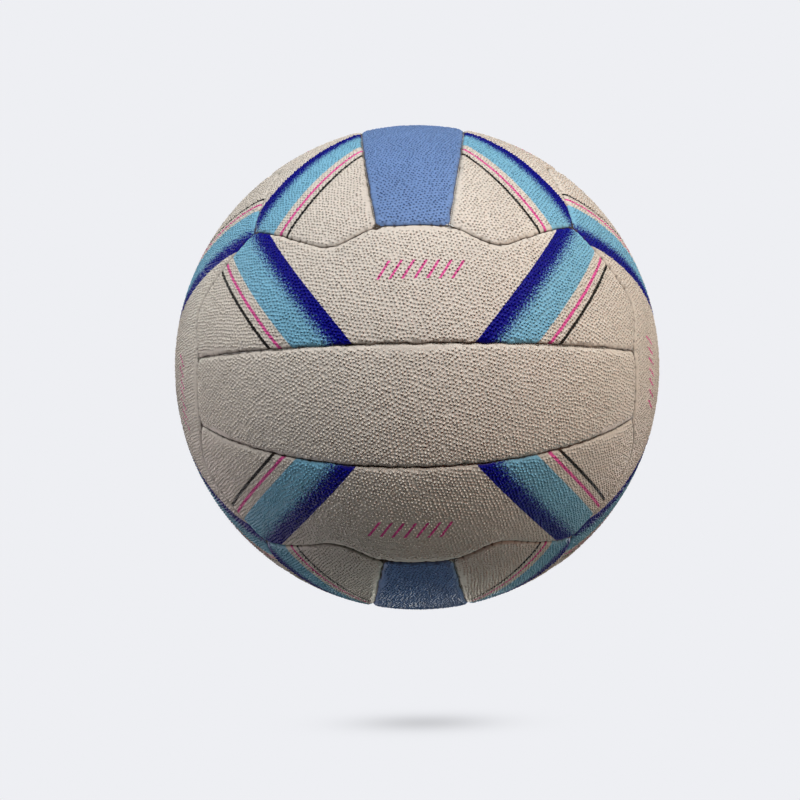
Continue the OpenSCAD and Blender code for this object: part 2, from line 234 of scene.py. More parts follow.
@dataclass(frozen=True)
class OutlineCutter:
    """Samples the outlines of the two cuts of cover from the seam layout.

    Attributes:
        layout: Where the seams run.
        spacing: Distance between the points that carry mesh, in millimetres.
        finer: How many outline points there are for each of those.
        table: Number of points in the tables of seam lengths.
        tight: Opening of a wavy seam away from its dips, and of a straight seam at its ends.
        dip_open: Opening of a wavy seam in its dips.
        dip_reach: Distance over which that closes.
        end_reach: Distance over which a straight seam closes towards its ends.
        corner_pinch: How hard a cover is drawn in at the cube's corners, against 1 elsewhere.
    """

    layout: SeamLayout
    spacing: float = 0.42
    finer: int = 4
    table: int = 4001
    tight: float = 0.3
    dip_open: float = 0.7
    dip_reach: float = 9.0
    end_reach: float = 4.0
    corner_pinch: float = 0.5

    def course(self, curve: Curve, angles: np.ndarray) -> np.ndarray:
        """Millimetres along a curve from the first of its angles to each of them."""
        steps = np.linalg.norm(np.diff(curve(angles), axis=0), axis=1)
        return np.concatenate([[0.0], np.cumsum(steps)]) * self.layout.ball_r

    def seam_length(self, along: np.ndarray) -> np.ndarray:
        """Places along a wavy seam.

        Args:
            along: Angles from its middle.

        Returns:
            Signed millimetres from its middle.
        """
        span = self.layout.corner_along
        fine = np.linspace(-span, span, self.table)
        length = self.course(self.layout.upper_seam, fine)
        return np.interp(along, fine, length - 0.5 * length[-1])

    def opening(self, along: np.ndarray, wavy: bool) -> np.ndarray:
        """How far a seam gapes at places along it, from 0 to 1.

        Args:
            along: Millimetres from the seam's middle.
            wavy: Whether it is a wavy seam.

        Returns:
            The opening at each place.
        """
        if wavy:
            dip = self.seam_length(np.array([self.layout.dip_along_angle]))
            off = (np.abs(along) - dip) / self.dip_reach
            return self.tight + (self.dip_open - self.tight) * np.exp(-off * off)
        half = math.radians(self.layout.strip_half) * self.layout.ball_r
        off = (half - np.abs(along)) / self.end_reach
        return 1.0 - (1.0 - self.tight) * np.exp(-off * off)

    def edge(
        self, curve: Curve, start: float, end: float, wavy: bool
    ) -> tuple[np.ndarray, np.ndarray, np.ndarray]:
        """Points at even distances along one edge, without its last point.

        Args:
            curve: Function from angles to unit directions.
            start: Angle at the edge's first point.
            end: Angle at the edge's last point.
            wavy: Whether the edge lies on a wavy seam.

        Returns:
            The points, the millimetres from the middle of their seam, and its opening.
        """
        angles = np.linspace(start, end, self.table)
        length = self.course(curve, angles)
        count = self.finer * round(length[-1] / self.spacing)
        even = np.interp(np.arange(count) * length[-1] / count, length, angles)
        along = self.seam_length(even) if wavy else np.radians(even) * self.layout.ball_r
        return curve(even), along, self.opening(along, wavy)

    def cut(self, kind: PanelKind) -> Outline:
        """The outline of one cut of cover, as it lies on the front face.

        Args:
            kind: Which cut it is.

        Returns:
            The outline.
        """
        seams = self.layout
        corner, butt, half = seams.corner_along, seams.butt_along, seams.strip_half
        tilt = seams.strip_tilt

        def upper_line(along: np.ndarray) -> np.ndarray:
            """The straight seam above the middle strip."""
            return seams.on_front(along, np.full_like(along, tilt))

        def lower_line(along: np.ndarray) -> np.ndarray:
            """The straight seam below the middle strip."""
            return seams.on_front(along, np.full_like(along, -tilt))

        if kind is PanelKind.OUTER:
            edges = [
                self.edge(seams.right_seam, butt, corner, True),
                self.edge(seams.upper_seam, corner, -corner, True),
                self.edge(seams.left_seam, corner, butt, True),
                self.edge(upper_line, -half, half, False),
            ]
            meeting = seams.upper_seam(np.array([-butt, butt]))
            pinch = np.array([1.0, self.corner_pinch, self.corner_pinch, 1.0, 1.0, 1.0])
        else:
            edges = [
                self.edge(seams.right_seam, -butt, butt, True),
                self.edge(upper_line, half, -half, False),
                self.edge(seams.left_seam, butt, -butt, True),
                self.edge(lower_line, -half, half, False),
            ]
            meeting = np.zeros((0, 3))
            pinch = np.ones(len(edges))
        own = np.array([points[0] for points, along, opening in edges])
        points, along, opening = (np.concatenate(parts) for parts in zip(*edges))
        return Outline(points, along, opening, np.concatenate([own, meeting]), pinch)


@dataclass(frozen=True)
class SeamPlaces:
    """Where points of a cover lie by its seams.

    Attributes:
        way: Distance of each point from the cover's edge.
        along: Distance along the seam from its middle.
        opened: The seam's opening, from 0 to 1.
        pinch: Share of the corner pinch, from 0 to 1.
    """

    way: np.ndarray
    along: np.ndarray
    opened: np.ndarray
    pinch: np.ndarray


@dataclass(frozen=True)
class Hem:
    """How a cover's surface drops towards its seam.

    Attributes:
        ways: Distances from the cover's edge at which the mesh has a row of points.
        gape: Distance from the seam's middle line to the edge where the seam is fully open.
        roll: Radius of the rolled edge.
        roll_drop: Depth of the rolled edge where the seam is fully open.
        roll_least: Share of that depth where it is closed.
        crown_drop: Further depth at the seam of the panel's broad crown.
        crown_way: Distance over which that crown fades.
        crown_power: Power of the distance in that fading.
        closed_share: Share of the opening that is lost where the thread is drawn tight.
        closed_way: Distance along the seam over which that changes.
        draws: Number of random values, after which they repeat along a seam.
        stitch_pitch: Distance between stitches.
        stitch_stray: How far a stitch strays from its place, as a share of that distance.
        stitch_drop: Depth of the dent of a stitch.
        stitch_least: Share of that depth at the loosest stitch.
        stitch_half: Half width of the dent, along the seam.
        stitch_way: Distance from the edge over which the dent fades.
        stitch_close: Share of the gape that a stitch closes.
        soil_and_shade_way: Distance from the edge over which the seam dirt and the painted shade in the
            crease fade.
        pinch_drop: Further depth at a corner where seams meet.
        pinch_way: Distance over which that fades.
        pinch_shade: How dark a corner where seams meet is painted, a painted shade for its pit.
        pinch_shade_power: Power of the pinch in the fading of that painted shade.
        seed: Seed of the stitches' places and depths and of the tight places.
    """

    ways: tuple[float, ...] = (0.05, 0.15, 0.3, 0.5)
    gape: float = 0.15
    roll: float = 0.85
    roll_drop: float = 1.25
    roll_least: float = 0.6
    crown_drop: float = 0.24
    crown_way: float = 1.8
    crown_power: float = 1.3
    closed_share: float = 0.6
    closed_way: float = 8.0
    draws: int = 64
    stitch_pitch: float = 4.2
    stitch_stray: float = 0.3
    stitch_drop: float = 0.4
    stitch_least: float = 0.4
    stitch_half: float = 0.5
    stitch_way: float = 0.9
    stitch_close: float = 0.8
    soil_and_shade_way: float = 0.45
    pinch_drop: float = 0.9
    pinch_way: float = 1.8
    pinch_shade: float = 0.75
    pinch_shade_power: int = 3
    seed: int = 5

    def stitch_share(self, way: np.ndarray, along: np.ndarray) -> np.ndarray:
        """How fully points lie in the dent of a stitch.

        Args:
            way: Distances from the cover's edge.
            along: Distances along the seam from its middle.

        Returns:
            The share at each point, from 0 to 1.
        """
        stray, strength = np.random.default_rng(self.seed).uniform(0.0, 1.0, (2, self.draws))
        place = np.abs(along) / self.stitch_pitch
        number = np.floor(place).astype(int) % self.draws
        middle = 0.5 + self.stitch_stray * (2.0 * stray[number] - 1.0)
        off = (place - np.floor(place) - middle) * self.stitch_pitch
        held = self.stitch_least + (1.0 - self.stitch_least) * strength[number]
        return held * np.exp(-((off / self.stitch_half) ** 2) - (way / self.stitch_way) ** 2)

    def opened(self, opening: np.ndarray, along: np.ndarray) -> np.ndarray:
        """A seam's opening, less where the thread happens to be drawn tight.

        Args:
            opening: The seam's opening by its place on the ball, from 0 to 1.
            along: Distances along the seam from its middle.

        Returns:
            The opening at each point, from 0 to 1.
        """
        table = np.random.default_rng(self.seed + 1).uniform(0.0, 1.0, self.draws)
        place = np.abs(along) / self.closed_way
        return opening * (1.0 - self.closed_share * np.interp(place, np.arange(self.draws), table))

    def edge_way(self, opened: np.ndarray, along: np.ndarray) -> np.ndarray:
        """Distance from the seam's middle line to the cover's edge, least at the stitches."""
        stitched = self.stitch_share(np.zeros_like(along), along)
        return self.gape * opened * (1.0 - self.stitch_close * stitched)

    def depth(self, at: SeamPlaces) -> np.ndarray:
        """Depth below the panel's ground.

        Args:
            at: Where the points lie by the seams.

        Returns:
            The depth at each point, in millimetres.
        """
        over = np.clip(1.0 - at.way / self.roll, 0.0, 1.0)
        share = self.roll_least + (1.0 - self.roll_least) * at.opened
        rolled = self.roll_drop * (1.0 - np.sqrt(1.0 - over * over)) * share
        crown = self.crown_drop * np.exp(-((at.way / self.crown_way) ** self.crown_power))
        dent = self.stitch_drop * self.stitch_share(at.way, at.along)
        return rolled + crown + dent + self.pinch_drop * at.pinch

    def soil_and_shade(self, at: SeamPlaces) -> np.ndarray:
        """How much dirt and painted shade lie by the seams: dirt and painted crease shade along the open
        seam, and painted shade in the stitch dents and the corner pits.

        Args:
            at: Where the points lie by the seams.

        Returns:
            The dirt and painted shade at each point, from 0 to 1.
        """
        # Seam dirt, with painted shade in the open crease.
        near = at.opened * np.exp(-((at.way / self.soil_and_shade_way) ** 2))
        # Painted shade in the pit where seams meet.
        corner = self.pinch_shade * at.pinch**self.pinch_shade_power
        # The stitch dents get painted shade.
        return np.maximum(near, np.maximum(self.stitch_share(at.way, at.along), corner))


@dataclass(frozen=True)
class Grip:
    """The pimples of the rubber: small separate domes, in staggered rows on a smooth ground.

    Attributes:
        pitch: Distance between neighbouring pimples.
        row_share: Distance between their rows, as a share of that.
        margin: How far the rows reach past the corners of the area that they fill, as a factor.
        height: Height of a pimple over the ground.
        rings: Radius, number of points and height share of each ring of a pimple's mesh.
        slimmest: Share of those radii on the slimmest pimple.
        stouter: How much larger that share is on the stoutest.
        stray: How far a pimple strays from its place.
        uneven: Share by which the pimples' heights vary.
        drift: How far the rows wander off true.
        drift_way: Distance over which that drift changes.
        fade_from: Distance from the seam where pimples start to rise.
        fade_to: Distance from the seam where they have their full height.
        bare: How much further in they start where the edge was pressed flat.
        bare_way: Distance over which that changes.
        bare_full: Value of the noise at which an edge is pressed flat fully.
        cells: Number of the noise's features, after which it repeats.
        seed: Seed of the drift, the stray and the heights.
    """

    pitch: float = 1.48
    row_share: float = math.sqrt(0.75)
    margin: float = 1.2
    height: float = 0.52
    rings: tuple[tuple[float, int, float], ...] = ((0.0, 1, 1.0), (0.25, 6, 0.82), (0.46, 8, 0.0))
    slimmest: float = 0.8
    stouter: float = 0.3
    stray: float = 0.26
    uneven: float = 0.6
    drift: float = 0.5
    drift_way: float = 5.0
    fade_from: float = 0.5
    fade_to: float = 2.1
    bare: float = 1.4
    bare_way: float = 11.0
    bare_full: float = 0.9
    cells: int = 256
    seed: int = 11

    def smooth_noise(self, flat: np.ndarray, cell: float, seed: int) -> np.ndarray:
        """Smooth seeded noise over the plane.

        Args:
            flat: Flat places.
            cell: Width of one of the noise's features.
            seed: Seed of its values.

        Returns:
            A value from -1 to 1 at each place.
        """
        table = np.random.default_rng(seed).uniform(-1.0, 1.0, (self.cells + 1, self.cells + 1))
        place = flat.T / cell + 0.5 * self.cells
        low = np.floor(place).astype(int)
        along, across = smooth_step(place - low, 0.0, 1.0)
        row, column = low % self.cells
        near = table[row, column] * (1.0 - along) + table[row + 1, column] * along
        far = table[row, column + 1] * (1.0 - along) + table[row + 1, column + 1] * along
        return near * (1.0 - across) + far * across

    def middles(self, reach: np.ndarray, turn: float) -> np.ndarray:
        """Middles of the pimples over a flat area round the origin.

        Args:
            reach: Half the area's length and half its width.
            turn: Turn of the rows, in degrees.

        Returns:
            Rows of two flat places.
        """
        count = int(np.hypot(*reach) / self.pitch * self.margin) + 1
        span = np.arange(-count, count + 1)
        step, row = (number.ravel() for number in np.meshgrid(span, span, indexing="ij"))
        x, y = (step + 0.5 * row) * self.pitch, row * self.pitch * self.row_share
        cos, sin = math.cos(math.radians(turn)), math.sin(math.radians(turn))
        flat = np.stack([cos * x - sin * y, sin * x + cos * y], 1)
        flat = flat[(np.abs(flat) < reach).all(1)]
        stray = np.random.default_rng(self.seed).uniform(-self.stray, self.stray, flat.shape)
        drift = [self.smooth_noise(flat, self.drift_way, self.seed + side) for side in (0, 1)]
        return flat + self.drift * np.stack(drift, 1) + stray

    def domes(self, middles: np.ndarray, share: np.ndarray) -> tuple[np.ndarray, np.ndarray]:
        """Mesh points of pimples.

        Args:
            middles: The pimples' middles.
            share: Share of the full height that each pimple has.

        Returns:
            Flat places, and the height share of each.
        """
        random = np.random.default_rng(self.seed + 2)
        size = random.uniform(0.0, 1.0, len(middles))
        own = share * (1.0 - self.uneven * size[::-1])
        start = random.uniform(0.0, 2.0 * math.pi, len(middles))
        places, heights = [], []
        for radius, count, height in self.rings:
            reach = radius * (self.slimmest + self.stouter * size)
            for number in range(count):
                angle = start + number * 2.0 * math.pi / count
                places.append(middles + reach[:, None] * np.stack([np.cos(angle), np.sin(angle)], 1))
                heights.append(own * height)
        return np.concatenate(places), np.concatenate(heights)

    def fade(self, way: np.ndarray, flat: np.ndarray) -> np.ndarray:
        """How high the pimples are by the seam.

        Args:
            way: Distances from the seam.
            flat: Flat places.

        Returns:
            Share of the full height at each place, from 0 to 1.
        """
        patch = self.smooth_noise(flat, self.bare_way, self.seed + 3)
        start = way - self.bare * smooth_step(patch, 0.0, self.bare_full)
        return smooth_step(start, self.fade_from, self.fade_to)


@dataclass(frozen=True)
class HandWork:
    """The unevenness of a hand-sewn ball, alike on both sides of a seam.

    Attributes:
        sway: How far a seam strays sideways.
        sway_cell: Distance over which that changes.
        sway_way: Distance from the seam over which it fades.
        swell: How far the surface sinks between its high places.
        swell_cell: Distance over which that changes.
        cells: Number of the noise's features, after which it repeats.
        seed: Seed of both.
    """

    sway: float = 0.32
    sway_cell: float = 3.2
    sway_way: float = 2.5
    swell: float = 0.2
    swell_cell: float = 17.0
    cells: int = 48
    seed: int = 23

    def noise(self, points: np.ndarray, cell: float, seed: int) -> np.ndarray:
        """Smooth seeded noise in space.

        Args:
            points: Rows of x, y and z.
            cell: Width of one of the noise's features.
            seed: Seed of its values.

        Returns:
            Three values from -1 to 1 for each point.
        """
        size = (self.cells,) * 3 + (3,)
        table = np.random.default_rng(seed).uniform(-1.0, 1.0, size)
        place = points / cell
        low = np.floor(place).astype(int)
        share = smooth_step(place - low, 0.0, 1.0)
        total = np.zeros((len(points), 3))
        for step in np.ndindex(2, 2, 2):
            weight = np.where(np.array(step) == 1, share, 1.0 - share).prod(1)
            at = (low + np.array(step)) % self.cells
            total += weight[:, None] * table[at[:, 0], at[:, 1], at[:, 2]]
        return total

    def apply(self, mesh: bpy.types.Mesh) -> None:
        """Moves the vertices of a cover that lies in its place on the ball.

        Args:
            mesh: The cover's mesh.
        """
        points = np.empty(len(mesh.vertices) * 3, np.float32)
        mesh.vertices.foreach_get("co", points)
        points = points.reshape(-1, 3).astype(float) / MM
        way = np.empty(len(points), np.float32)
        mesh.attributes[SEAM_WAY].data.foreach_get("value", way)
        out = unit_rows(points)
        side = self.noise(points, self.sway_cell, self.seed)
        side -= (side * out).sum(1)[:, None] * out
        sink = 0.5 + 0.5 * self.noise(points, self.swell_cell, self.seed + 1)[:, 0]
        moved = points + self.sway * np.exp(-way / self.sway_way)[:, None] * side
        moved = moved - self.swell * sink[:, None] * out
        mesh.vertices.foreach_set("co", (moved * MM).astype(np.float32).ravel())
        mesh.update()


@dataclass(frozen=True)
class ValveHole:
    """The hole for the valve in one cover, with its pressed ring.

    Attributes:
        radius: Radius of the hole.
        ways: Distances outside the hole's edge at which the mesh has a ring of points.
        drops: Depth of the surface at each ring.
        points: Number of points on a ring.
        clear: Distance outside the edge where the pimples start, and over which the dent fades.
        inside: Share of the radius within which a face lies in the hole.
        on_edge: How near to the edge a point of its ring lies.
    """

    radius: float = 4.1
    ways: tuple[float, ...] = (0.0, 0.15, 0.4, 0.8, 1.2, 1.6, 2.0, 2.4)
    drops: tuple[float, ...] = (0.5, 0.3, 0.2, 0.18, 0.3, 0.3, 0.16, 0.1)
    points: int = 64
    clear: float = 2.8
    inside: float = 0.98
    on_edge: float = 0.01

    def drop(self, way: np.ndarray) -> np.ndarray:
        """Depth of the surface round the hole.

        Args:
            way: Distances from the valve's axis.

        Returns:
            The depth at each distance.
        """
        out = way - self.radius
        ring = np.interp(out, self.ways, self.drops)
        far = self.drops[-1] * np.exp(-(np.maximum(out - self.ways[-1], 0.0) / self.clear))
        return np.where(out > self.ways[-1], far, ring)

    def circle(self, out: float) -> np.ndarray:
        """Flat points of the ring at a distance outside the hole's edge."""
        turn = np.arange(self.points) * 2.0 * math.pi / self.points
        return (self.radius + out) * np.stack([np.cos(turn), np.sin(turn)], 1)

    def edge_points(self, flat: np.ndarray) -> np.ndarray:
        """Numbers of the flat points that lie on the hole's edge."""
        return np.flatnonzero(np.abs(np.hypot(*flat.T) - self.radius) < self.on_edge)


@dataclass(frozen=True)
class SurfacePoints:
    """The points of a cover's outer surface, those of its rim first.

    Attributes:
        direction: Unit directions.
        seam: Where they lie by the seams.
        rise: Share of a pimple's height at each point.
        rim: Number of points on the rim.
    """

    direction: np.ndarray
    seam: SeamPlaces
    rise: np.ndarray
    rim: int


@dataclass
class CoverCut:
    """Builds the mesh of one cut of cover, as it lies on the front face.

    Attributes:
        kind: Which cut it is.
        layout: Where the seams run.
        hem: How the surface drops towards the seams.
        grip: The pimples.
        lattice_turn: Turn of the pimples' rows, in degrees.
        hole: The valve hole, in the cover that has one.
        thickness: Thickness of the rubber below the tops of the pimples.
        web: Least thickness that the dents and gaps leave.
        shade_from: Share of the deepest place's depth at which painted shade in the deepest hollows starts.
        clear: Least distance between the hem's last row and the pimples' points.
        least_inset: Share of a row's distance from the edge that its points keep by a corner.
        inner_step: Distance between the points of the hidden inner surface.
        inner_free: Radius that these points leave free in the middle, where a valve can pass.
        merge_way: Distance within which the triangulation takes two points for one.
        split: Share of the bake map's height that the outer surface takes.
        split_gap: Share of it that stays free between the outer and the inner surface.
        outline: The cover's outline.
        tree: The search for the nearest point of the outline.
        inward: Unit vectors that point into the cover from the points of the outline.
    """

    kind: PanelKind
    layout: SeamLayout
    hem: Hem
    grip: Grip
    lattice_turn: float
    hole: ValveHole | None = None
    thickness: float = 1.3
    web: float = 0.02
    shade_from: float = 0.9
    clear: float = 0.1
    least_inset: float = 0.97
    inner_step: float = 6.0
    inner_free: float = 8.2
    merge_way: float = 1e-6
    split: float = 0.9
    split_gap: float = 0.02
    outline: Outline = field(init=False)
    tree: KDTree = field(init=False)
    inward: np.ndarray = field(init=False)

    def __post_init__(self) -> None:
        """Samples the outline and prepares the search for its nearest point."""
        self.outline = OutlineCutter(self.layout).cut(self.kind)
        points = self.outline.points
        self.tree = KDTree(len(points))
        for number, point in enumerate(points * self.layout.ball_r):
            self.tree.insert(point, number)
        self.tree.balance()
        self.inward = unit_rows(self.mitre(points))

    @staticmethod
    def mitre(points: np.ndarray) -> np.ndarray:
        """Vectors that point into the cover from the points of its outline.

        Args:
            points: Unit directions along the outline.

        Returns:
            Inward vectors whose step moves both neighbouring edges by one unit.
        """
        before = unit_rows(np.cross(np.roll(points, 1, 0), points))
        after = unit_rows(np.cross(points, np.roll(points, -1, 0)))
        return (before + after) / (1.0 + (before * after).sum(1))[:, None]

    @property
    def mid_angle(self) -> float:
        """How far round the front face the strip's middle line lies, in radians."""
        return math.radians(self.layout.outer_mid) if self.kind is PanelKind.OUTER else 0.0

    def to_flat(self, directions: np.ndarray) -> np.ndarray:
        """Flat places of directions.

        Args:
            directions: Unit directions.

        Returns:
            Millimetres along and across the strip.
        """
        cos, sin = math.cos(self.mid_angle), math.sin(self.mid_angle)
        x, y, z = directions.T
        out, up = -y * cos + z * sin, z * cos + y * sin
        flat = np.stack([np.arctan2(x, out), np.arcsin(np.clip(up, -1.0, 1.0))], 1)
        return flat * self.layout.ball_r

    def to_ball(self, flat: np.ndarray) -> np.ndarray:
        """Directions of flat places.

        Args:
            flat: Millimetres along and across the strip.

        Returns:
            Unit directions.
        """
        lon, lat = (flat / self.layout.ball_r).T
        out, up = np.cos(lon) * np.cos(lat), np.sin(lat)
        cos, sin = math.cos(self.mid_angle), math.sin(self.mid_angle)
        return np.stack([np.sin(lon) * np.cos(lat), -(out * cos - up * sin), out * sin + up * cos], 1)

    def nearest(self, directions: np.ndarray) -> tuple[np.ndarray, np.ndarray]:
        """The nearest points of the outline.

        Args:
            directions: Unit directions.

        Returns:
            Millimetres to the outline, negative outside it, and its nearest point's number.
        """
        found = [self.tree.find(point) for point in directions * self.layout.ball_r]
        way, number = np.array([hit[2] for hit in found]), np.array([hit[1] for hit in found])
        side = ((directions - self.outline.points[number]) * self.inward[number]).sum(1)
        return np.where(side > 0.0, way, -way), number

    def ring(self, row: int) -> tuple[np.ndarray, np.ndarray, np.ndarray]:
        """Points of one of the hem's rows.

        Args:
            row: Number of the row, from the cover's edge.

        Returns:
            The unit directions, their distances from the edge, and the numbers of their
            outline points.
        """
        picked = np.arange(0, len(self.outline.points), OutlineCutter.finer)
        points, along = self.outline.points[picked], self.outline.along_seam[picked]
        edge = self.hem.edge_way(self.hem.opened(self.outline.opening[picked], along), along)
        inset = self.hem.ways[row] + edge
        inward = self.mitre(points)
        sine = np.sin(inset / self.layout.ball_r)
        length = (inward * inward).sum(1)
        moved = np.sqrt(1.0 - sine * sine * length)[:, None] * points + sine[:, None] * inward
        kept = (self.nearest(moved)[0] > self.least_inset * inset) | (row == 0)
        return moved[kept], np.full(kept.sum(), self.hem.ways[row]), picked[kept]

    def pinch_share(self, directions: np.ndarray) -> np.ndarray:
        """How fully points lie in the pinch at a corner.

        Args:
            directions: Unit directions.

        Returns:
            The share at each of them, from 0 to 1.
        """
        share = np.zeros(len(directions))
        for corner, strength in zip(self.outline.corners, self.outline.pinch):
            way = np.linalg.norm(directions - corner, axis=1) * self.layout.ball_r
            share = np.maximum(share, strength * np.exp(-((way / self.hem.pinch_way) ** 2)))
        return share

    def surface_points(self) -> SurfacePoints:
        """Every point of the outer surface: the hem's rows, the pimples and the hole's rings.

        Returns:
            The points, the rim's first.
        """
        rows = [self.ring(row) for row in range(len(self.hem.ways))]
        rises = [np.zeros(len(directions)) for directions, way, number in rows]
        flat, rise = self.pimples()
        directions = self.to_ball(flat)
        way, number = self.edge_distance(directions)
        kept = way > self.hem.ways[-1] + self.clear
        rows.append((directions[kept], way[kept], number[kept]))
        rises.append(rise[kept])
        if self.hole:
            for out in self.hole.ways:
                directions = self.to_ball(self.hole.circle(out))
                rows.append((directions, *self.edge_distance(directions)))
                rises.append(np.zeros(len(directions)))
        direction, way, number = (np.concatenate(parts) for parts in zip(*rows))
        along = self.outline.along_seam[number]
        opened = self.hem.opened(self.outline.opening[number], along)
        seam = SeamPlaces(way, along, opened, self.pinch_share(direction))
        return SurfacePoints(direction, seam, np.concatenate(rises), len(rows[0][0]))

    def edge_distance(self, directions: np.ndarray) -> tuple[np.ndarray, np.ndarray]:
        """How far points lie from the cover's own edge.

        Args:
            directions: Unit directions.

        Returns:
            The distances, and the numbers of the nearest points of the outline.
        """
        way, number = self.nearest(directions)
        along = self.outline.along_seam[number]
        opened = self.hem.opened(self.outline.opening[number], along)
        return way - self.hem.edge_way(opened, along), number

    def pimples(self) -> tuple[np.ndarray, np.ndarray]:
        """The mesh points of all the pimples on the cover.

        Returns:
            Their flat places, and the height share of each.
        """
        flat = self.to_flat(self.outline.points)
        middle = 0.5 * (flat.max(0) + flat.min(0))
        reach = 0.5 * (flat.max(0) - flat.min(0))
        middles = self.grip.middles(reach, self.lattice_turn) + middle
        way = self.nearest(self.to_ball(middles))[0]
        kept = way > self.hem.ways[-1] + self.grip.rings[1][0] + self.clear
        if self.hole:
            kept &= np.hypot(*middles.T) > self.hole.radius + self.hole.clear + self.grip.rings[-1][0]
        share = self.grip.fade(way[kept], middles[kept])
        return self.grip.domes(middles[kept], share)

    @staticmethod
    def closed_loop(numbers: np.ndarray) -> list[list[int]]:
        """The edges of a closed loop of points."""
        return np.stack([numbers, np.roll(numbers, -1)], 1).tolist()

    def triangles(self, flat: np.ndarray, rim: int) -> np.ndarray:
        """Triangles over flat points, inside the rim and outside the valve hole.

        Args:
            flat: The points, the closed rim first and the hole's edge where it was added.
            rim: Number of points on the rim.

        Returns:
            Rows of three point numbers, anticlockwise.
        """
        loops = self.closed_loop(np.arange(rim))
        if self.hole:
            loops += self.closed_loop(self.hole.edge_points(flat))
        points = [Vector(point) for point in flat]
        made = delaunay_2d_cdt(points, loops, [], INSIDE_LOOPS, self.merge_way, False)
        faces = np.array(made[2])
        if self.hole:
            faces = faces[np.hypot(*flat[faces].mean(1).T) > self.hole.radius * self.hole.inside]
        a, b, c = (flat[faces[:, k]] for k in range(3))
        turned = (b[:, 0] - a[:, 0]) * (c[:, 1] - a[:, 1]) - (b[:, 1] - a[:, 1]) * (c[:, 0] - a[:, 0]) < 0
        faces[turned] = faces[turned][:, ::-1]
        return faces

    def inner_points(self, rim: np.ndarray) -> np.ndarray:
        """Points of the hidden inner surface: the rim, a coarse fill and the hole's edge.

        Args:
            rim: Flat places of the rim's points.

        Returns:
            Flat places of all of them, the rim's first.
        """
        reach = np.abs(rim - rim.mean(0)).max(0)
        spans = [np.arange(-half, half, self.inner_step) for half in reach]
        fill = np.stack([places.ravel() for places in np.meshgrid(*spans)], 1) + rim.mean(0)
        way = self.nearest(self.to_ball(fill))[0]
        kept = (way > 0.5 * self.inner_step) & (np.hypot(*fill.T) > self.inner_free)
        parts = [rim, fill[kept]]
        if self.hole:
            parts.append(self.hole.circle(0.0))
        return np.concatenate(parts)

    def relief(self, made: SurfacePoints, flat: np.ndarray) -> tuple[np.ndarray, np.ndarray]:
        """How deep the outer surface lies, and how much dirt and painted shade it has.

        Args:
            made: The surface's points.
            flat: Their flat places.

        Returns:
            The depth of each point below the tops of the pimples, and its dirt and painted shade from 0 to
            1.
        """
        depth = self.hem.depth(made.seam) + self.grip.height * (1.0 - made.rise)
        if self.hole:
            depth = depth + self.hole.drop(np.hypot(*flat.T))
        deepest = self.thickness - self.web
        # Painted shade where the surface sinks nearly through the rubber, in seam bottoms and corner pits.
        lowest = smooth_step(depth, self.shade_from * deepest, deepest)
        return np.minimum(depth, deepest), np.maximum(self.hem.soil_and_shade(made.seam), lowest)

    def build(self, name: str) -> bpy.types.Mesh:
        """The closed mesh of the cover, in metres.

        Args:
            name: Name of the mesh.

        Returns:
            The mesh, with its panel map, bake map and surface values.
        """
        made = self.surface_points()
        flat = self.to_flat(made.direction)
        depth, soil_and_shade = self.relief(made, flat)
        top = made.direction * (self.layout.ball_r - depth)[:, None]
        under = self.inner_points(flat[:made.rim])
        bottom = self.to_ball(under) * (self.layout.ball_r - self.thickness)
        faces = self.triangles(flat, made.rim)
        under_faces = self.triangles(under, made.rim)[:, ::-1] + len(top)
        walls = self.walls(len(top), len(bottom), made.rim)
        points = np.concatenate([top, bottom]) * MM
        mesh = mesh_from(name, points, np.concatenate([faces, under_faces, walls]))
        self.lay_maps(mesh, np.concatenate([flat, under]), len(faces))
        hidden = np.zeros(len(bottom))
        give_values(mesh, GRIP, np.concatenate([made.rise, hidden]))
        give_values(mesh, SEAM_WAY, np.concatenate([made.seam.way, hidden]))
        # The hidden inner surface takes full painted shade, so the walls in the seams are painted darker
        # towards their bottom.
        give_values(mesh, SOIL_AND_SHADE, np.concatenate([soil_and_shade, hidden + 1.0]))
        return mesh

    def walls(self, top: int, bottom: int, rim: int) -> np.ndarray:
        """The walls round the rim and in the valve hole.

        Args:
            top: Number of points on the outer surface.
            bottom: Number of points on the inner surface.
            rim: Number of points on the rim.

        Returns:
            Rows of three point numbers.
        """
        edge = np.arange(rim)
        walls = [self.wall(edge, edge + top)]
        if self.hole:
            edge = np.arange(self.hole.points)[::-1]
            first = top - len(self.hole.ways) * self.hole.points
            walls.append(self.wall(edge + first, edge + top + bottom - self.hole.points))
        return np.concatenate(walls)

    @staticmethod
    def wall(upper: np.ndarray, lower: np.ndarray) -> np.ndarray:
        """A wall between two closed rows of points.

        Args:
            upper: Numbers of the points on the outer surface.
            lower: Numbers of the points below them.

        Returns:
            Two rows of three point numbers for each step along the wall.
        """
        next_upper, next_lower = np.roll(upper, -1), np.roll(lower, -1)
        return np.concatenate([
            np.stack([upper, lower, next_lower], 1),
            np.stack([upper, next_lower, next_upper], 1),
        ])

    def lay_maps(self, mesh: bpy.types.Mesh, flat: np.ndarray, outer_faces: int) -> None:
        """Gives the mesh its panel map in millimetres and its bake map.

        Args:
            mesh: The cover's mesh.
            flat: A flat place for each vertex.
            outer_faces: Number of faces on the outer surface, which come first.
        """
        corners = np.empty(len(mesh.loops), np.int32)
        mesh.loops.foreach_get("vertex_index", corners)
        panel = flat[corners]
        low, high = flat.min(0), flat.max(0)
        bake = (panel - low) / (high - low)
        outer = np.arange(len(corners)) < outer_faces * 3
        under = 1.0 - bake[:, 1] * (1.0 - self.split_gap - self.split)
        bake[:, 1] = np.where(outer, bake[:, 1] * self.split, under)
        for name, places in ((BAKE_MAP, bake), (PANEL_MAP, panel)):
            layer = mesh.uv_layers.new(name=name)
            layer.uv.foreach_set("vector", places.astype(np.float32).ravel())


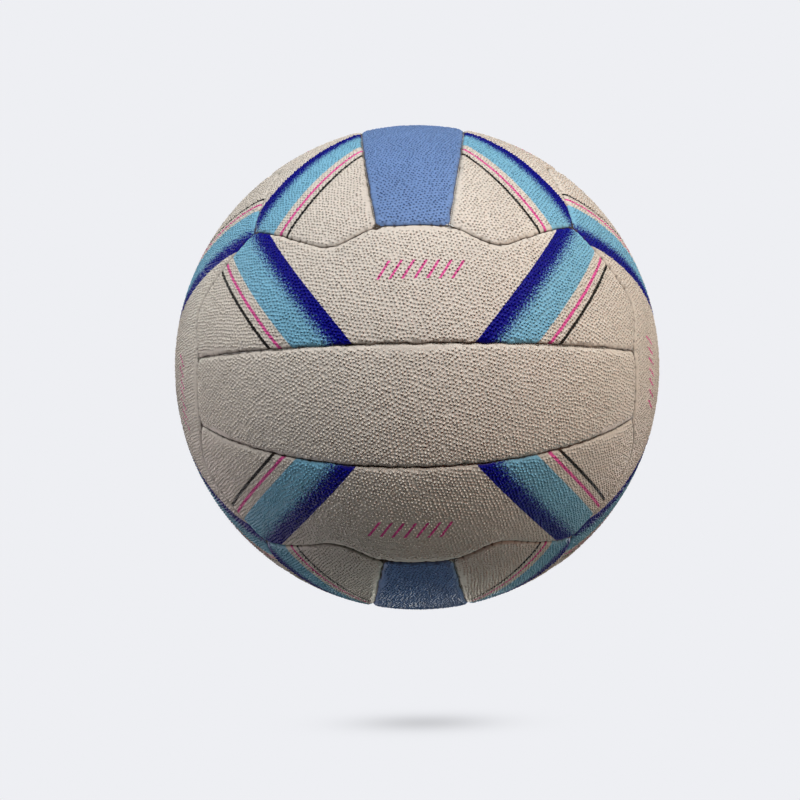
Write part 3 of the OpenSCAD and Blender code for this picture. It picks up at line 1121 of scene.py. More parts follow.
def mesh_from(name: str, points: np.ndarray, faces: np.ndarray) -> bpy.types.Mesh:
    """A smooth mesh of triangles.

    Args:
        name: Name of the mesh.
        points: Rows of x, y and z.
        faces: Rows of three point numbers.

    Returns:
        The mesh.
    """
    mesh = bpy.data.meshes.new(name)
    mesh.vertices.add(len(points))
    mesh.vertices.foreach_set("co", points.astype(np.float32).ravel())
    mesh.loops.add(len(faces) * 3)
    mesh.loops.foreach_set("vertex_index", faces.astype(np.int32).ravel())
    mesh.polygons.add(len(faces))
    mesh.polygons.foreach_set("loop_start", np.arange(len(faces), dtype=np.int32) * 3)
    mesh.polygons.foreach_set("use_smooth", np.full(len(faces), True))
    mesh.update(calc_edges=True)
    mesh.set_sharp_from_angle(angle=SHARP_ANGLE)
    return mesh


def give_values(mesh: bpy.types.Mesh, name: str, values: np.ndarray) -> None:
    """Stores one number for each vertex under a name that materials read."""
    layer = mesh.attributes.new(name, "FLOAT", "POINT")
    layer.data.foreach_set("value", values.astype(np.float32))


@dataclass(frozen=True)
class Noise:
    """A noise texture: its scale, its detail and its roughness."""

    scale: float
    detail: float = 2.0
    rough: float = 0.5


@dataclass(frozen=True)
class Ramp:
    """A smooth change from start to end while a value goes from low to high."""

    low: float
    high: float
    start: float = 0.0
    end: float = 1.0


class Sheet:
    """A node tree, with short calls that place and join its nodes.

    Attributes:
        MIX_INPUTS: Numbers of a Mix node's sockets for the share and the two colours.
        MIX_OUTPUT: Number of its socket for the mixed colour.
    """

    MIX_INPUTS = (0, 6, 7)
    MIX_OUTPUT = 2

    def __init__(self, tree: bpy.types.NodeTree) -> None:
        """Takes the tree to work on."""
        self.tree = tree

    def add(self, kind: str, **settings: object) -> bpy.types.Node:
        """Places a node.

        Args:
            kind: Blender's name for that kind of node.
            settings: The node's properties.

        Returns:
            The node.
        """
        node = self.tree.nodes.new(kind)
        for name, value in settings.items():
            setattr(node, name, value)
        return node

    def feed(self, socket: Socket, source: Source) -> None:
        """Joins a socket to an output, or sets it to a plain value.

        Args:
            socket: The socket.
            source: The output or the value.
        """
        if isinstance(source, bpy.types.NodeSocket):
            self.tree.links.new(source, socket)
        else:
            socket.default_value = source

    def math(self, operation: str, first: Source, second: Source = 0.0, clamp: bool = False) -> Socket:
        """One step of arithmetic.

        Args:
            operation: Blender's name for the step.
            first: The first value.
            second: The second value.
            clamp: Whether the result is kept between 0 and 1.

        Returns:
            The result.
        """
        node = self.add("ShaderNodeMath", operation=operation, use_clamp=clamp)
        self.feed(node.inputs[0], first)
        self.feed(node.inputs[1], second)
        return node.outputs[0]

    def ease(self, value: Source, ramp: Ramp) -> Socket:
        """A smooth change that follows a value.

        Args:
            value: The value.
            ramp: The change.

        Returns:
            The changed value.
        """
        node = self.add("ShaderNodeMapRange", interpolation_type="SMOOTHSTEP")
        for socket, source in zip(node.inputs, (value, ramp.low, ramp.high, ramp.start, ramp.end)):
            self.feed(socket, source)
        return node.outputs[0]

    def blend(self, share: Source, first: Source, second: Source, kind: str = "MIX") -> Socket:
        """A mix of two colours.

        Args:
            share: Share of the second colour.
            first: The first colour.
            second: The second colour.
            kind: Blender's name for the way of mixing.

        Returns:
            The mixed colour.
        """
        node = self.add("ShaderNodeMix", data_type="RGBA", blend_type=kind)
        for number, source in zip(self.MIX_INPUTS, (share, first, second)):
            self.feed(node.inputs[number], source)
        return node.outputs[self.MIX_OUTPUT]

    def noise(self, place: Source, noise: Noise) -> Socket:
        """Noise from 0 to 1.

        Args:
            place: Where it is read.
            noise: Which noise it is.

        Returns:
            The noise.
        """
        node = self.add("ShaderNodeTexNoise")
        self.feed(node.inputs["Vector"], place)
        node.inputs["Scale"].default_value = noise.scale
        node.inputs["Detail"].default_value = noise.detail
        node.inputs["Roughness"].default_value = noise.rough
        return node.outputs["Fac"]

    def stray(self, place: Source, noise: Noise, reach: float) -> Socket:
        """A distance that strays to both sides of zero, by half its reach at most."""
        return self.math("MULTIPLY", self.math("SUBTRACT", self.noise(place, noise), 0.5), reach)

    def value_of(self, name: str) -> Socket:
        """A value that the mesh holds for each vertex."""
        return self.add("ShaderNodeAttribute", attribute_name=name).outputs["Fac"]

    def place(self) -> Socket:
        """Places on the object, in metres."""
        return self.add("ShaderNodeTexCoord").outputs["Object"]

    def parts_of(self, vector: Socket) -> bpy.types.NodeOutputs:
        """The three parts of a vector.

        Args:
            vector: The vector.

        Returns:
            A socket for each part.
        """
        node = self.add("ShaderNodeSeparateXYZ")
        self.feed(node.inputs[0], vector)
        return node.outputs

    def effect(self, group: bpy.types.NodeTree, values: dict[str, float | Colour]) -> bpy.types.Node:
        """Places an effect that more than one material uses.

        Args:
            group: The effect's node group.
            values: This material's own values, by the names of the group's inputs.

        Returns:
            The group's node.
        """
        node = self.add("ShaderNodeGroup", node_tree=group)
        for name, value in values.items():
            node.inputs[name].default_value = value
        return node

    def shader(self, **settings: float) -> bpy.types.Node:
        """The surface shader, with its plain values set on its own sockets.

        Args:
            settings: The values, by the sockets' names with an underscore for each space.

        Returns:
            The shader's node.
        """
        node = self.add("ShaderNodeBsdfPrincipled")
        for name, value in settings.items():
            node.inputs[name.replace("_", " ")].default_value = value
        return node

    def bump(self, height: Socket, distance: float = 1.0, strength: float = 1.0) -> Socket:
        """A normal that follows a height.

        Args:
            height: The height.
            distance: Metres that a height of 1 stands for.
            strength: Share of the effect.

        Returns:
            The normal.
        """
        node = self.add("ShaderNodeBump")
        node.inputs["Distance"].default_value = distance
        node.inputs["Strength"].default_value = strength
        self.feed(node.inputs["Height"], height)
        return node.outputs["Normal"]

    def finish(self, shader: bpy.types.Node) -> None:
        """Joins the shader to the material's output."""
        out = self.add("ShaderNodeOutputMaterial")
        self.tree.links.new(shader.outputs[0], out.inputs["Surface"])


def new_material(name: str) -> tuple[bpy.types.Material, Sheet]:
    """An empty node material.

    Args:
        name: Name of the material.

    Returns:
        The material and the sheet that fills it.
    """
    material = bpy.data.materials.new(name)
    material.use_nodes = True
    material.node_tree.nodes.clear()
    return material, Sheet(material.node_tree)


@dataclass(frozen=True)
class GroupPlan:
    """A shader node group: its name, and the names and kinds of its sockets."""

    name: str
    inputs: tuple[tuple[str, str], ...]
    outputs: tuple[tuple[str, str], ...]

    def start(self) -> tuple[bpy.types.NodeTree, Sheet, bpy.types.Node, bpy.types.Node]:
        """An empty group with its sockets, ready to be filled.

        Returns:
            The group, the sheet that fills it, and the nodes that hold its inputs and outputs.
        """
        tree = bpy.data.node_groups.new(self.name, "ShaderNodeTree")
        for way, sockets in (("INPUT", self.inputs), ("OUTPUT", self.outputs)):
            for label, kind in sockets:
                tree.interface.new_socket(label, in_out=way, socket_type="NodeSocket" + kind)
        sheet = Sheet(tree)
        return tree, sheet, sheet.add("NodeGroupInput"), sheet.add("NodeGroupOutput")


@dataclass(frozen=True)
class StripePrint:
    """The printed stripes of an outer cover, in millimetres of its panel map.

    A stripe's place is measured from the cover's middle and slants outwards going up.

    Attributes:
        slant: How far a stripe leans outwards for each millimetre up.
        navy_from: Where the navy starts.
        grain_from: Where the spray grain starts to go over to light blue.
        grain_to: Where it is light blue only.
        light_to: Where the light blue ends.
        grain: How far the spray grain strays.
        grain_noise: Noise of the spray grain.
        pink_at: Middle of the pink pinstripe.
        black_at: Middle of the black pinstripe.
        line_half: Half width of a pinstripe.
        bar_half: Half width of a pink bar.
        bar_pitch: Distance between the bars.
        bar_count: Number of bars.
        bars_from: Where the bars start above the cover's middle line.
        bars_to: Where they end.
        bar_slant: How far a bar leans for each millimetre up.
        soft: Half width of the inks' soft edges.
        ragged: How far the edges of the stripes wander.
        ragged_noise: Noise of that wandering.
    """

    slant: float = 0.75
    navy_from: float = 40.0
    grain_from: float = 46.0
    grain_to: float = 52.0
    light_to: float = 64.0
    grain: float = 16.0
    grain_noise: Noise = Noise(1.3, 1.0, 0.6)
    pink_at: float = 69.0
    black_at: float = 73.5
    line_half: float = 0.8
    bar_half: float = 0.55
    bar_pitch: float = 4.6
    bar_count: int = 7
    bars_from: float = 1.0
    bars_to: float = 8.5
    bar_slant: float = 0.6
    soft: float = 0.22
    ragged: float = 0.5
    ragged_noise: Noise = Noise(1.6)

    def group(self) -> bpy.types.NodeTree:
        """The node group that lays the stripes over the cover's colour.

        Returns:
            The group.
        """
        inputs = tuple((label, "Color") for label in ("Cover", "Light", "Navy", "Pink", "Black"))
        tree, sheet, given, result = GroupPlan("Printed stripes", inputs, (("Color", "Color"),)).start()
        place = sheet.add("ShaderNodeUVMap", uv_map=PANEL_MAP).outputs[0]
        along, up = sheet.parts_of(place)[:2]
        along = sheet.math("ADD", along, sheet.stray(place, self.ragged_noise, self.ragged))
        lean = sheet.math("MULTIPLY", up, self.slant)
        out = sheet.math("SUBTRACT", sheet.math("ABSOLUTE", along), lean)
        grained = sheet.math("ADD", out, sheet.stray(place, self.grain_noise, self.grain))
        change = sheet.ease(grained, Ramp(self.grain_from, self.grain_to))
        ink = sheet.blend(change, given.outputs["Navy"], given.outputs["Light"])
        inked = self.band(sheet, out, self.navy_from, self.light_to)
        colour = sheet.blend(inked, given.outputs["Cover"], ink)
        for at, name in ((self.pink_at, "Pink"), (self.black_at, "Black")):
            line = self.band(sheet, out, at - self.line_half, at + self.line_half)
            colour = sheet.blend(line, colour, given.outputs[name])
        colour = sheet.blend(self.bars(sheet, along, up), colour, given.outputs["Pink"])
        sheet.feed(result.inputs["Color"], colour)
        return tree

    def bars(self, sheet: Sheet, along: Socket, up: Socket) -> Socket:
        """The mask of the row of pink bars.

        Args:
            sheet: The sheet to draw on.
            along: Places along the cover.
            up: Places across it.

        Returns:
            The mask.
        """
        across = sheet.math("SUBTRACT", along, sheet.math("MULTIPLY", up, self.bar_slant))
        turn = sheet.math("ADD", sheet.math("DIVIDE", across, self.bar_pitch), 0.5)
        off = sheet.math("MULTIPLY", sheet.math("SUBTRACT", sheet.math("FRACT", turn), 0.5), self.bar_pitch)
        edge = Ramp(self.bar_half - self.soft, self.bar_half + self.soft, 1.0, 0.0)
        bar = sheet.ease(sheet.math("ABSOLUTE", off), edge)
        reach = 0.5 * self.bar_count * self.bar_pitch
        within = sheet.math("LESS_THAN", sheet.math("ABSOLUTE", across), reach)
        tall = self.band(sheet, up, self.bars_from, self.bars_to)
        return sheet.math("MULTIPLY", sheet.math("MULTIPLY", bar, within), tall)

    def band(self, sheet: Sheet, value: Socket, low: float, high: float) -> Socket:
        """A mask that is 1 between two limits and softens at both.

        Args:
            sheet: The sheet to draw on.
            value: The value that the limits are for.
            low: The lower limit.
            high: The upper limit.

        Returns:
            The mask.
        """
        rise = sheet.ease(value, Ramp(low - self.soft, low + self.soft))
        fall = sheet.ease(value, Ramp(high - self.soft, high + self.soft, 1.0, 0.0))
        return sheet.math("MULTIPLY", rise, fall)


@dataclass(frozen=True)
class RubberSkin:
    """The look of moulded rubber: dirt and painted shade in the gaps and seams, faint blotches and a fine
    grain.

    Attributes:
        soil_and_shade: Colour of the dirt and of the painted shade in the seams.
        relief: Height of the pimples' shading over that of their mesh, in metres.
        grain: Height of the fine grain, in metres.
        grain_noise: Noise of the fine grain.
        blotch_noise: Noise of the blotches.
        blotch_tone: Brightness of the rubber, over that noise.
        foot_rise: How the dirt and painted shade at a pimple's foot sets in, over the height of a pimple.
        foot_fall: How it ends, further up the pimple.
        gap_noise: Noise of the dirt and painted shade at the pimples' feet.
        gap_share: Share of that dirt and painted shade, over its noise.
        gap_rough: How much rougher the rubber is where that mask lies.
        seam_noise: Noise of the dirt and painted shade in the seams.
        seam_share: Share of that dirt and painted shade, over its noise.
    """

    soil_and_shade: Colour = (0.06, 0.04, 0.025, 1.0)
    relief: float = 0.0003
    grain: float = 0.00002
    grain_noise: Noise = Noise(2600.0)
    blotch_noise: Noise = Noise(38.0, 3.0)
    blotch_tone: Ramp = Ramp(0.3, 0.7, 0.965, 1.03)
    foot_rise: Ramp = Ramp(0.0, 0.2)
    foot_fall: Ramp = Ramp(0.3, 0.8, 1.0, 0.0)
    gap_noise: Noise = Noise(520.0, 1.0)
    gap_share: Ramp = Ramp(0.35, 0.65, 0.45, 1.5)
    gap_rough: float = 0.4
    seam_noise: Noise = Noise(160.0, 3.0, 0.7)
    seam_share: Ramp = Ramp(0.35, 0.65, 0.5, 1.4)

    def group(self) -> bpy.types.NodeTree:
        """The node group that every rubber cover uses.

        Returns:
            The group.
        """
        plan = GroupPlan(
            "Rubber skin",
            (("Color", "Color"), ("Gap dirt and shade", "Float"), ("Seam dirt and shade", "Float"), ("Roughness", "Float")),
            (("Color", "Color"), ("Roughness", "Float"), ("Height", "Float")),
        )
        tree, sheet, given, result = plan.start()
        place = sheet.place()
        grip = sheet.value_of(GRIP)
        # Dirt and painted shade at the pimples' feet, darkening the rubber's colour.
        gap = sheet.math("MULTIPLY", self.gap_dirt_and_shade(sheet, place, grip), given.outputs["Gap dirt and shade"])
        tone = sheet.ease(sheet.noise(place, self.blotch_noise), self.blotch_tone)
        shade = sheet.math("MULTIPLY", tone, sheet.math("SUBTRACT", 1.0, gap))
        grey = sheet.add("ShaderNodeCombineColor")
        for socket in grey.inputs[:3]:
            sheet.feed(socket, shade)
        colour = sheet.blend(1.0, given.outputs["Color"], grey.outputs[0], "MULTIPLY")
        # Seam dirt and painted shade in the creases, stitch dents and corner pits, in patches.
        patchy = sheet.ease(sheet.noise(place, self.seam_noise), self.seam_share)
        soil_and_shade_patches = sheet.math("MULTIPLY", sheet.value_of(SOIL_AND_SHADE), patchy)
        seam_darkening = sheet.math("MULTIPLY", soil_and_shade_patches, given.outputs["Seam dirt and shade"], clamp=True)
        sheet.feed(result.inputs["Color"], sheet.blend(seam_darkening, colour, self.soil_and_shade))
        dull = sheet.math("MULTIPLY", gap, self.gap_rough)
        rough = sheet.math("ADD", given.outputs["Roughness"], dull, clamp=True)
        sheet.feed(result.inputs["Roughness"], rough)
        pimples = sheet.math("MULTIPLY", grip, self.relief)
        fine = sheet.math("MULTIPLY", sheet.noise(place, self.grain_noise), self.grain)
        sheet.feed(result.inputs["Height"], sheet.math("ADD", pimples, fine))
        return tree

    def gap_dirt_and_shade(self, sheet: Sheet, place: Socket, grip: Socket) -> Socket:
        """The dirt and painted shade round the feet of the pimples, on the lower part of their sides.

        Args:
            sheet: The sheet to draw on.
            place: Where its noise is read.
            grip: Height share of the pimples.

        Returns:
            How much dirt and painted shade there is.
        """
        foot = sheet.math("MULTIPLY", sheet.ease(grip, self.foot_rise), sheet.ease(grip, self.foot_fall))
        return sheet.math("MULTIPLY", foot, sheet.ease(sheet.noise(place, self.gap_noise), self.gap_share))


@dataclass(frozen=True)
class CoverFinish:
    """A rubber cover's finish.

    Attributes:
        name: Name of the material.
        colour: Colour of the rubber.
        printed: Whether the stripes are printed on it.
        gap_dirt_and_shade: How dark the pimples' feet are painted, for dirt and painted shade.
        seam_dirt_and_shade: How much dirt and painted shade lie in the seams.
        roughness: Roughness on top of the pimples.
        ior: How strongly the rubber bends light.
        specular: Strength of its clear reflections.
        light: Colour of the light blue ink.
        navy: Colour of the navy ink.
        pink: Colour of the pink ink.
        black: Colour of the black ink.
    """

    name: str
    colour: Colour
    printed: bool = False
    gap_dirt_and_shade: float = 0.15
    seam_dirt_and_shade: float = 0.9
    roughness: float = 0.42
    ior: float = 1.5
    specular: float = 0.12
    light: Colour = (0.2, 0.45, 0.6, 1.0)
    navy: Colour = (0.002, 0.002, 0.21, 1.0)
    pink: Colour = (0.74, 0.095, 0.32, 1.0)
    black: Colour = (0.012, 0.011, 0.01, 1.0)

    def material(self, skin: bpy.types.NodeTree, stripes: bpy.types.NodeTree) -> bpy.types.Material:
        """The material of this finish.

        Args:
            skin: The rubber skin group.
            stripes: The printed stripes group.

        Returns:
            The material.
        """
        material, sheet = new_material(self.name)
        body = sheet.effect(skin, {
            "Color": self.colour,
            "Gap dirt and shade": self.gap_dirt_and_shade,
            "Seam dirt and shade": self.seam_dirt_and_shade,
            "Roughness": self.roughness,
        })
        if self.printed:
            ink = sheet.effect(stripes, {
                "Cover": self.colour,
                "Light": self.light,
                "Navy": self.navy,
                "Pink": self.pink,
                "Black": self.black,
            })
            sheet.feed(body.inputs["Color"], ink.outputs["Color"])
        shader = sheet.shader(IOR=self.ior, Specular_IOR_Level=self.specular)
        sheet.feed(shader.inputs["Base Color"], body.outputs["Color"])
        sheet.feed(shader.inputs["Roughness"], body.outputs["Roughness"])
        sheet.feed(shader.inputs["Normal"], sheet.bump(body.outputs["Height"]))
        sheet.finish(shader)
        return material


@dataclass(frozen=True)
class ClothFinish:
    """Laminated cloth with a plain weave.

    Attributes:
        name: Name of the material.
        light: Colour of the threads on top.
        dark: Colour between them, a painted shade in the hollows of the weave.
        threads: Scale of the weave.
        uneven: How far the threads wander.
        raised: Height of the weave, over the waves that make it.
        roughness: Roughness of the cloth.
        sheen: Strength of its sheen.
        relief: Height of the weave, in metres.
        relief_share: Share of it that shows.
    """

    name: str = "Lining cloth"
    light: Colour = (0.8, 0.8, 0.77, 1.0)
    dark: Colour = (0.52, 0.52, 0.49, 1.0)
    threads: float = 260.0
    uneven: float = 0.4
    raised: Ramp = Ramp(0.0, 0.5)
    roughness: float = 0.9
    sheen: float = 0.2
    relief: float = 0.0001
    relief_share: float = 0.6

    def material(self) -> bpy.types.Material:
        """The material of this finish.

        Returns:
            The material.
        """
        material, sheet = new_material(self.name)
        place = sheet.place()
        weave = 1.0
        for direction in ("X", "Y", "Z"):
            wave = sheet.add("ShaderNodeTexWave", bands_direction=direction)
            sheet.feed(wave.inputs["Vector"], place)
            wave.inputs["Scale"].default_value = self.threads
            wave.inputs["Distortion"].default_value = self.uneven
            weave = sheet.math("MULTIPLY", weave, wave.outputs["Fac"])
        height = sheet.ease(weave, self.raised)
        shader = sheet.shader(Roughness=self.roughness, Sheen_Weight=self.sheen)
        # Painted shade: darker where the weave lies low.
        sheet.feed(shader.inputs["Base Color"], sheet.blend(height, self.dark, self.light))
        sheet.feed(shader.inputs["Normal"], sheet.bump(height, self.relief, self.relief_share))
        sheet.finish(shader)
        return material


@dataclass(frozen=True)
class ThreadFinish:
    """Waxed thread with a twist.

    Attributes:
        name: Name of the material.
        light: Colour on top of the plies.
        dark: Colour between them, a painted shade in the grooves between the plies.
        twist: Scale of the twist.
        ply: Height of the plies, over the wave that makes them.
        roughness: Roughness of the wax.
        relief: Height of the plies, in metres.
        relief_share: Share of it that shows.
    """

    name: str = "Waxed thread"
    light: Colour = (0.55, 0.52, 0.48, 1.0)
    dark: Colour = (0.3, 0.27, 0.24, 1.0)
    twist: float = 420.0
    ply: Ramp = Ramp(0.1, 0.8)
    roughness: float = 0.55
    relief: float = 0.0002
    relief_share: float = 0.7

    def material(self) -> bpy.types.Material:
        """The material of this finish.

        Returns:
            The material.
        """
        material, sheet = new_material(self.name)
        wave = sheet.add("ShaderNodeTexWave", bands_direction="DIAGONAL")
        sheet.feed(wave.inputs["Vector"], sheet.place())
        wave.inputs["Scale"].default_value = self.twist
        height = sheet.ease(wave.outputs["Fac"], self.ply)
        shader = sheet.shader(Roughness=self.roughness)
        # Painted shade: darker in the grooves between the plies.
        sheet.feed(shader.inputs["Base Color"], sheet.blend(height, self.dark, self.light))
        sheet.feed(shader.inputs["Normal"], sheet.bump(height, self.relief, self.relief_share))
        sheet.finish(shader)
        return material


@dataclass(frozen=True)
class PlainRubberFinish:
    """Smooth moulded rubber of the bladder and the valve.

    Attributes:
        name: Name of the material.
        colour: Colour of the rubber.
        roughness: Roughness where it is clean.
        ior: How strongly the rubber bends light.
        cloud: Noise of the dust.
        dust: Colour of the dust.
        dust_span: Values of the noise between which the dust sets in.
        dust_share: How much of it there is at most.
        rough_span: Values of the noise between which the rubber gets rougher.
        rough_rise: How much rougher it gets.
        grain_noise: Noise of the fine grain.
        grain: Height of the fine grain, in metres.
        grain_share: Share of it that shows.
    """

    name: str
    colour: Colour
    roughness: float = 0.5
    ior: float = 1.5
    cloud: Noise = Noise(300.0, 4.0, 0.6)
    dust: Colour = (0.3, 0.29, 0.27, 1.0)
    dust_span: tuple[float, float] = (0.4, 0.8)
    dust_share: float = 0.12
    rough_span: tuple[float, float] = (0.3, 0.8)
    rough_rise: float = 0.15
    grain_noise: Noise = Noise(1800.0)
    grain: float = 0.00002
    grain_share: float = 0.5

    def material(self) -> bpy.types.Material:
        """The material of this finish.

        Returns:
            The material.
        """
        material, sheet = new_material(self.name)
        place = sheet.place()
        cloud = sheet.noise(place, self.cloud)
        dusty = sheet.ease(cloud, Ramp(*self.dust_span, 0.0, self.dust_share))
        rough = sheet.ease(cloud, Ramp(*self.rough_span, self.roughness, self.roughness + self.rough_rise))
        shader = sheet.shader(IOR=self.ior)
        sheet.feed(shader.inputs["Base Color"], sheet.blend(dusty, self.colour, self.dust))
        sheet.feed(shader.inputs["Roughness"], rough)
        grain = sheet.noise(place, self.grain_noise)
        sheet.feed(shader.inputs["Normal"], sheet.bump(grain, self.grain, self.grain_share))
        sheet.finish(shader)
        return material


@dataclass(frozen=True)
class Placement:
    """Where one cover lies.

    Attributes:
        stem: The first words of the names of the cover and of the solid that it stands for.
        kind: Its cut.
        face: Its turn about the corner where three faces meet.
        half_turn: Its half turn after that.
    """

    stem: str
    kind: PanelKind
    face: Face
    half_turn: HalfTurn = HalfTurn.NONE

    def matrix(self) -> Matrix:
        """The turn that brings the cut from the front face to this place.

        Returns:
            The turn.
        """
        meeting_corner = Vector((1.0, -1.0, 1.0)).normalized()
        turn = Matrix.Rotation(math.radians(self.face.value), 4, meeting_corner)
        if self.half_turn is not HalfTurn.NONE:
            turn = Matrix.Rotation(math.pi, 4, Vector(self.half_turn.value)) @ turn
        return turn


OUTER, MIDDLE = PanelKind.OUTER, PanelKind.MIDDLE
PLACEMENTS = (
    Placement("front_upper", OUTER, Face.FRONT),
    Placement("front_middle", MIDDLE, Face.FRONT),
    Placement("front_lower", OUTER, Face.FRONT, HalfTurn.ABOUT_Y),
    Placement("back_upper", OUTER, Face.FRONT, HalfTurn.ABOUT_Z),
    Placement("back_middle", MIDDLE, Face.FRONT, HalfTurn.ABOUT_Z),
    Placement("back_lower", OUTER, Face.FRONT, HalfTurn.ABOUT_X),
    Placement("right_front", OUTER, Face.RIGHT),
    Placement("right_middle", MIDDLE, Face.RIGHT),
    Placement("right_back", OUTER, Face.RIGHT, HalfTurn.ABOUT_X),
    Placement("left_front", OUTER, Face.RIGHT, HalfTurn.ABOUT_Y),
    Placement("left_middle", MIDDLE, Face.RIGHT, HalfTurn.ABOUT_Z),
    Placement("left_back", OUTER, Face.RIGHT, HalfTurn.ABOUT_Z),
    Placement("top_right", OUTER, Face.TOP),
    Placement("top_middle", MIDDLE, Face.TOP),
    Placement("top_left", OUTER, Face.TOP, HalfTurn.ABOUT_Z),
    Placement("bottom_right", OUTER, Face.TOP, HalfTurn.ABOUT_X),
    Placement("bottom_middle", MIDDLE, Face.TOP, HalfTurn.ABOUT_X),
    Placement("bottom_left", OUTER, Face.TOP, HalfTurn.ABOUT_Y),
)


@dataclass
class CoverSet:
    """The eighteen covers.

    Attributes:
        layout: Where the seams run.
        hem: How the surface drops towards the seams.
        grip: The pimples.
        hole: The valve hole.
        hand_work: The unevenness of the sewing.
        valve_stem: The cover that has the valve hole.
        blue_stems: The covers of blue rubber.
        outer_turn: Turn of the pimples' rows on an outer cover, in degrees.
        middle_turn: The same on a middle cover.
        cream: Colour of the cream rubber.
        blue: Colour of the blue rubber.
    """

    layout: SeamLayout = field(default_factory=SeamLayout)
    hem: Hem = field(default_factory=Hem)
    grip: Grip = field(default_factory=Grip)
    hole: ValveHole = field(default_factory=ValveHole)
    hand_work: HandWork = field(default_factory=HandWork)
    valve_stem: str = "back_middle"
    blue_stems: tuple[str, ...] = ("top_middle", "bottom_middle")
    outer_turn: float = -13.0
    middle_turn: float = 40.0
    cream: Colour = (0.675, 0.6, 0.52, 1.0)
    blue: Colour = (0.151, 0.249, 0.475, 1.0)

    def build(self) -> list[bpy.types.Object]:
        """Builds, places and dresses every cover.

        Returns:
            The cover objects.
        """
        finishes = self.finishes()
        cuts = self.cuts()
        pieces = [self.cover(place, cuts, finishes) for place in PLACEMENTS]
        for mesh in cuts.values():
            bpy.data.meshes.remove(mesh)
        return pieces

    def finishes(self) -> dict[CoverLook, bpy.types.Material]:
        """The materials of the covers.

        Returns:
            A material for each look.
        """
        skin, stripes = RubberSkin().group(), StripePrint().group()
        looks = {
            CoverLook.PLAIN: CoverFinish("Cream rubber", self.cream),
            CoverLook.PRINTED: CoverFinish("Printed cream rubber", self.cream, printed=True),
            CoverLook.BLUE: CoverFinish("Blue rubber", self.blue),
        }
        return {look: finish.material(skin, stripes) for look, finish in looks.items()}

    def cuts(self) -> dict[CoverShape, bpy.types.Mesh]:
        """The meshes that the covers are copied from, as they lie on the front face.

        Returns:
            A mesh for each shape.
        """
        shared = (self.layout, self.hem, self.grip)
        builders = {
            CoverShape.OUTER: CoverCut(OUTER, *shared, self.outer_turn),
            CoverShape.MIDDLE: CoverCut(MIDDLE, *shared, self.middle_turn),
            CoverShape.VALVE: CoverCut(MIDDLE, *shared, self.middle_turn, self.hole),
        }
        return {shape: builder.build(shape.value) for shape, builder in builders.items()}

    def shape_of(self, place: Placement) -> CoverShape:
        """The shape of the cover at a place."""
        middle = CoverShape.VALVE if place.stem == self.valve_stem else CoverShape.MIDDLE
        return CoverShape.OUTER if place.kind is OUTER else middle

    def cover(
        self,
        place: Placement,
        cuts: dict[CoverShape, bpy.types.Mesh],
        finishes: dict[CoverLook, bpy.types.Material],
    ) -> bpy.types.Object:
        """One cover, in its place and with its finish.

        Args:
            place: Where it lies.
            cuts: The mesh of each shape.
            finishes: The material of each look.

        Returns:
            The cover object.
        """
        mesh = cuts[self.shape_of(place)].copy()
        mesh.name = place.stem + "_cover"
        mesh.transform(place.matrix())
        self.hand_work.apply(mesh)
        is_blue = place.stem in self.blue_stems
        cream_look = CoverLook.PRINTED if place.kind is OUTER else CoverLook.PLAIN
        mesh.materials.append(finishes[CoverLook.BLUE if is_blue else cream_look])
        piece = bpy.data.objects.new(mesh.name, mesh)
        bpy.context.scene.collection.objects.link(piece)
        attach(piece, BODY)
        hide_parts(place.stem + "_panel")
        LOG.info("%s: %d faces", piece.name, len(mesh.polygons))
        return piece


@dataclass
class Inside:
    """The pieces under the covers and the valve, which keep their solids.

    Attributes:
        nodes: The frame's solids by name.
        lining: Finish of the linings.
        seam_thread: Finish of the threads in the wavy seams.
        strip_thread: Finish of the threads in the straight seams.
        bladder: Finish of the bladder.
        seat: Finish of the valve seat.
        plug: Finish of the valve plug.
    """

    nodes: dict[str, bpy.types.Object]
    lining: ClothFinish = ClothFinish()
    seam_thread: ThreadFinish = ThreadFinish()
    strip_thread: ThreadFinish = ThreadFinish("Waxed strip thread")
    bladder: PlainRubberFinish = PlainRubberFinish("Butyl bladder", (0.02, 0.02, 0.02, 1.0), 0.42)
    seat: PlainRubberFinish = PlainRubberFinish("Valve rubber", (0.1, 0.1, 0.11, 1.0), 0.55)
    plug: PlainRubberFinish = PlainRubberFinish("Plug rubber", (0.02, 0.02, 0.02, 1.0), 0.5)

    def dress(self) -> None:
        """Gives each inner solid the finish that goes with the ending of its name."""
        finishes = {
            "_lining": self.lining,
            "_thread": self.seam_thread,
            "_threads": self.strip_thread,
            "bladder": self.bladder,
            "valve_seat": self.seat,
            "valve_plug": self.plug,
        }
        materials = {ending: finish.material() for ending, finish in finishes.items()}
        for name, node in self.nodes.items():
            for ending, material in materials.items():
                if name.endswith(ending):
                    node.data.materials.clear()
                    node.data.materials.append(material)
                    LOG.info("%s: %s", name, material.name)


@dataclass(frozen=True)
class Lamp:
    """A soft studio lamp that looks at the ball's centre.

    Attributes:
        name: Name of the lamp.
        azimuth: Degrees round from the front, towards the right.
        elevation: Degrees above the ball's equator.
        watts: Power.
        tint: Colour.
        distance: Metres from the ball's centre.
        size: Width of its round face, in metres.
    """

    name: str
    azimuth: float
    elevation: float
    watts: float
    tint: tuple[float, float, float] = (1.0, 1.0, 1.0)
    distance: float = 1.2
    size: float = 0.5

    def place(self) -> bpy.types.Object:
        """Makes the lamp and puts it in its place.

        Returns:
            The lamp.
        """
        data = bpy.data.lights.new(self.name, "AREA")
        data.shape = "DISK"
        data.size = self.size
        data.energy = self.watts
        data.color = self.tint
        lamp = bpy.data.objects.new(self.name, data)
        turn, rise = math.radians(self.azimuth), math.radians(self.elevation)
        away = Vector((math.sin(turn) * math.cos(rise), -math.cos(turn) * math.cos(rise), math.sin(rise)))
        lamp.location = away * self.distance
        lamp.rotation_mode = "QUATERNION"
        lamp.rotation_quaternion = away.to_track_quat("Z", "Y")
        bpy.context.scene.collection.objects.link(lamp)
        return lamp


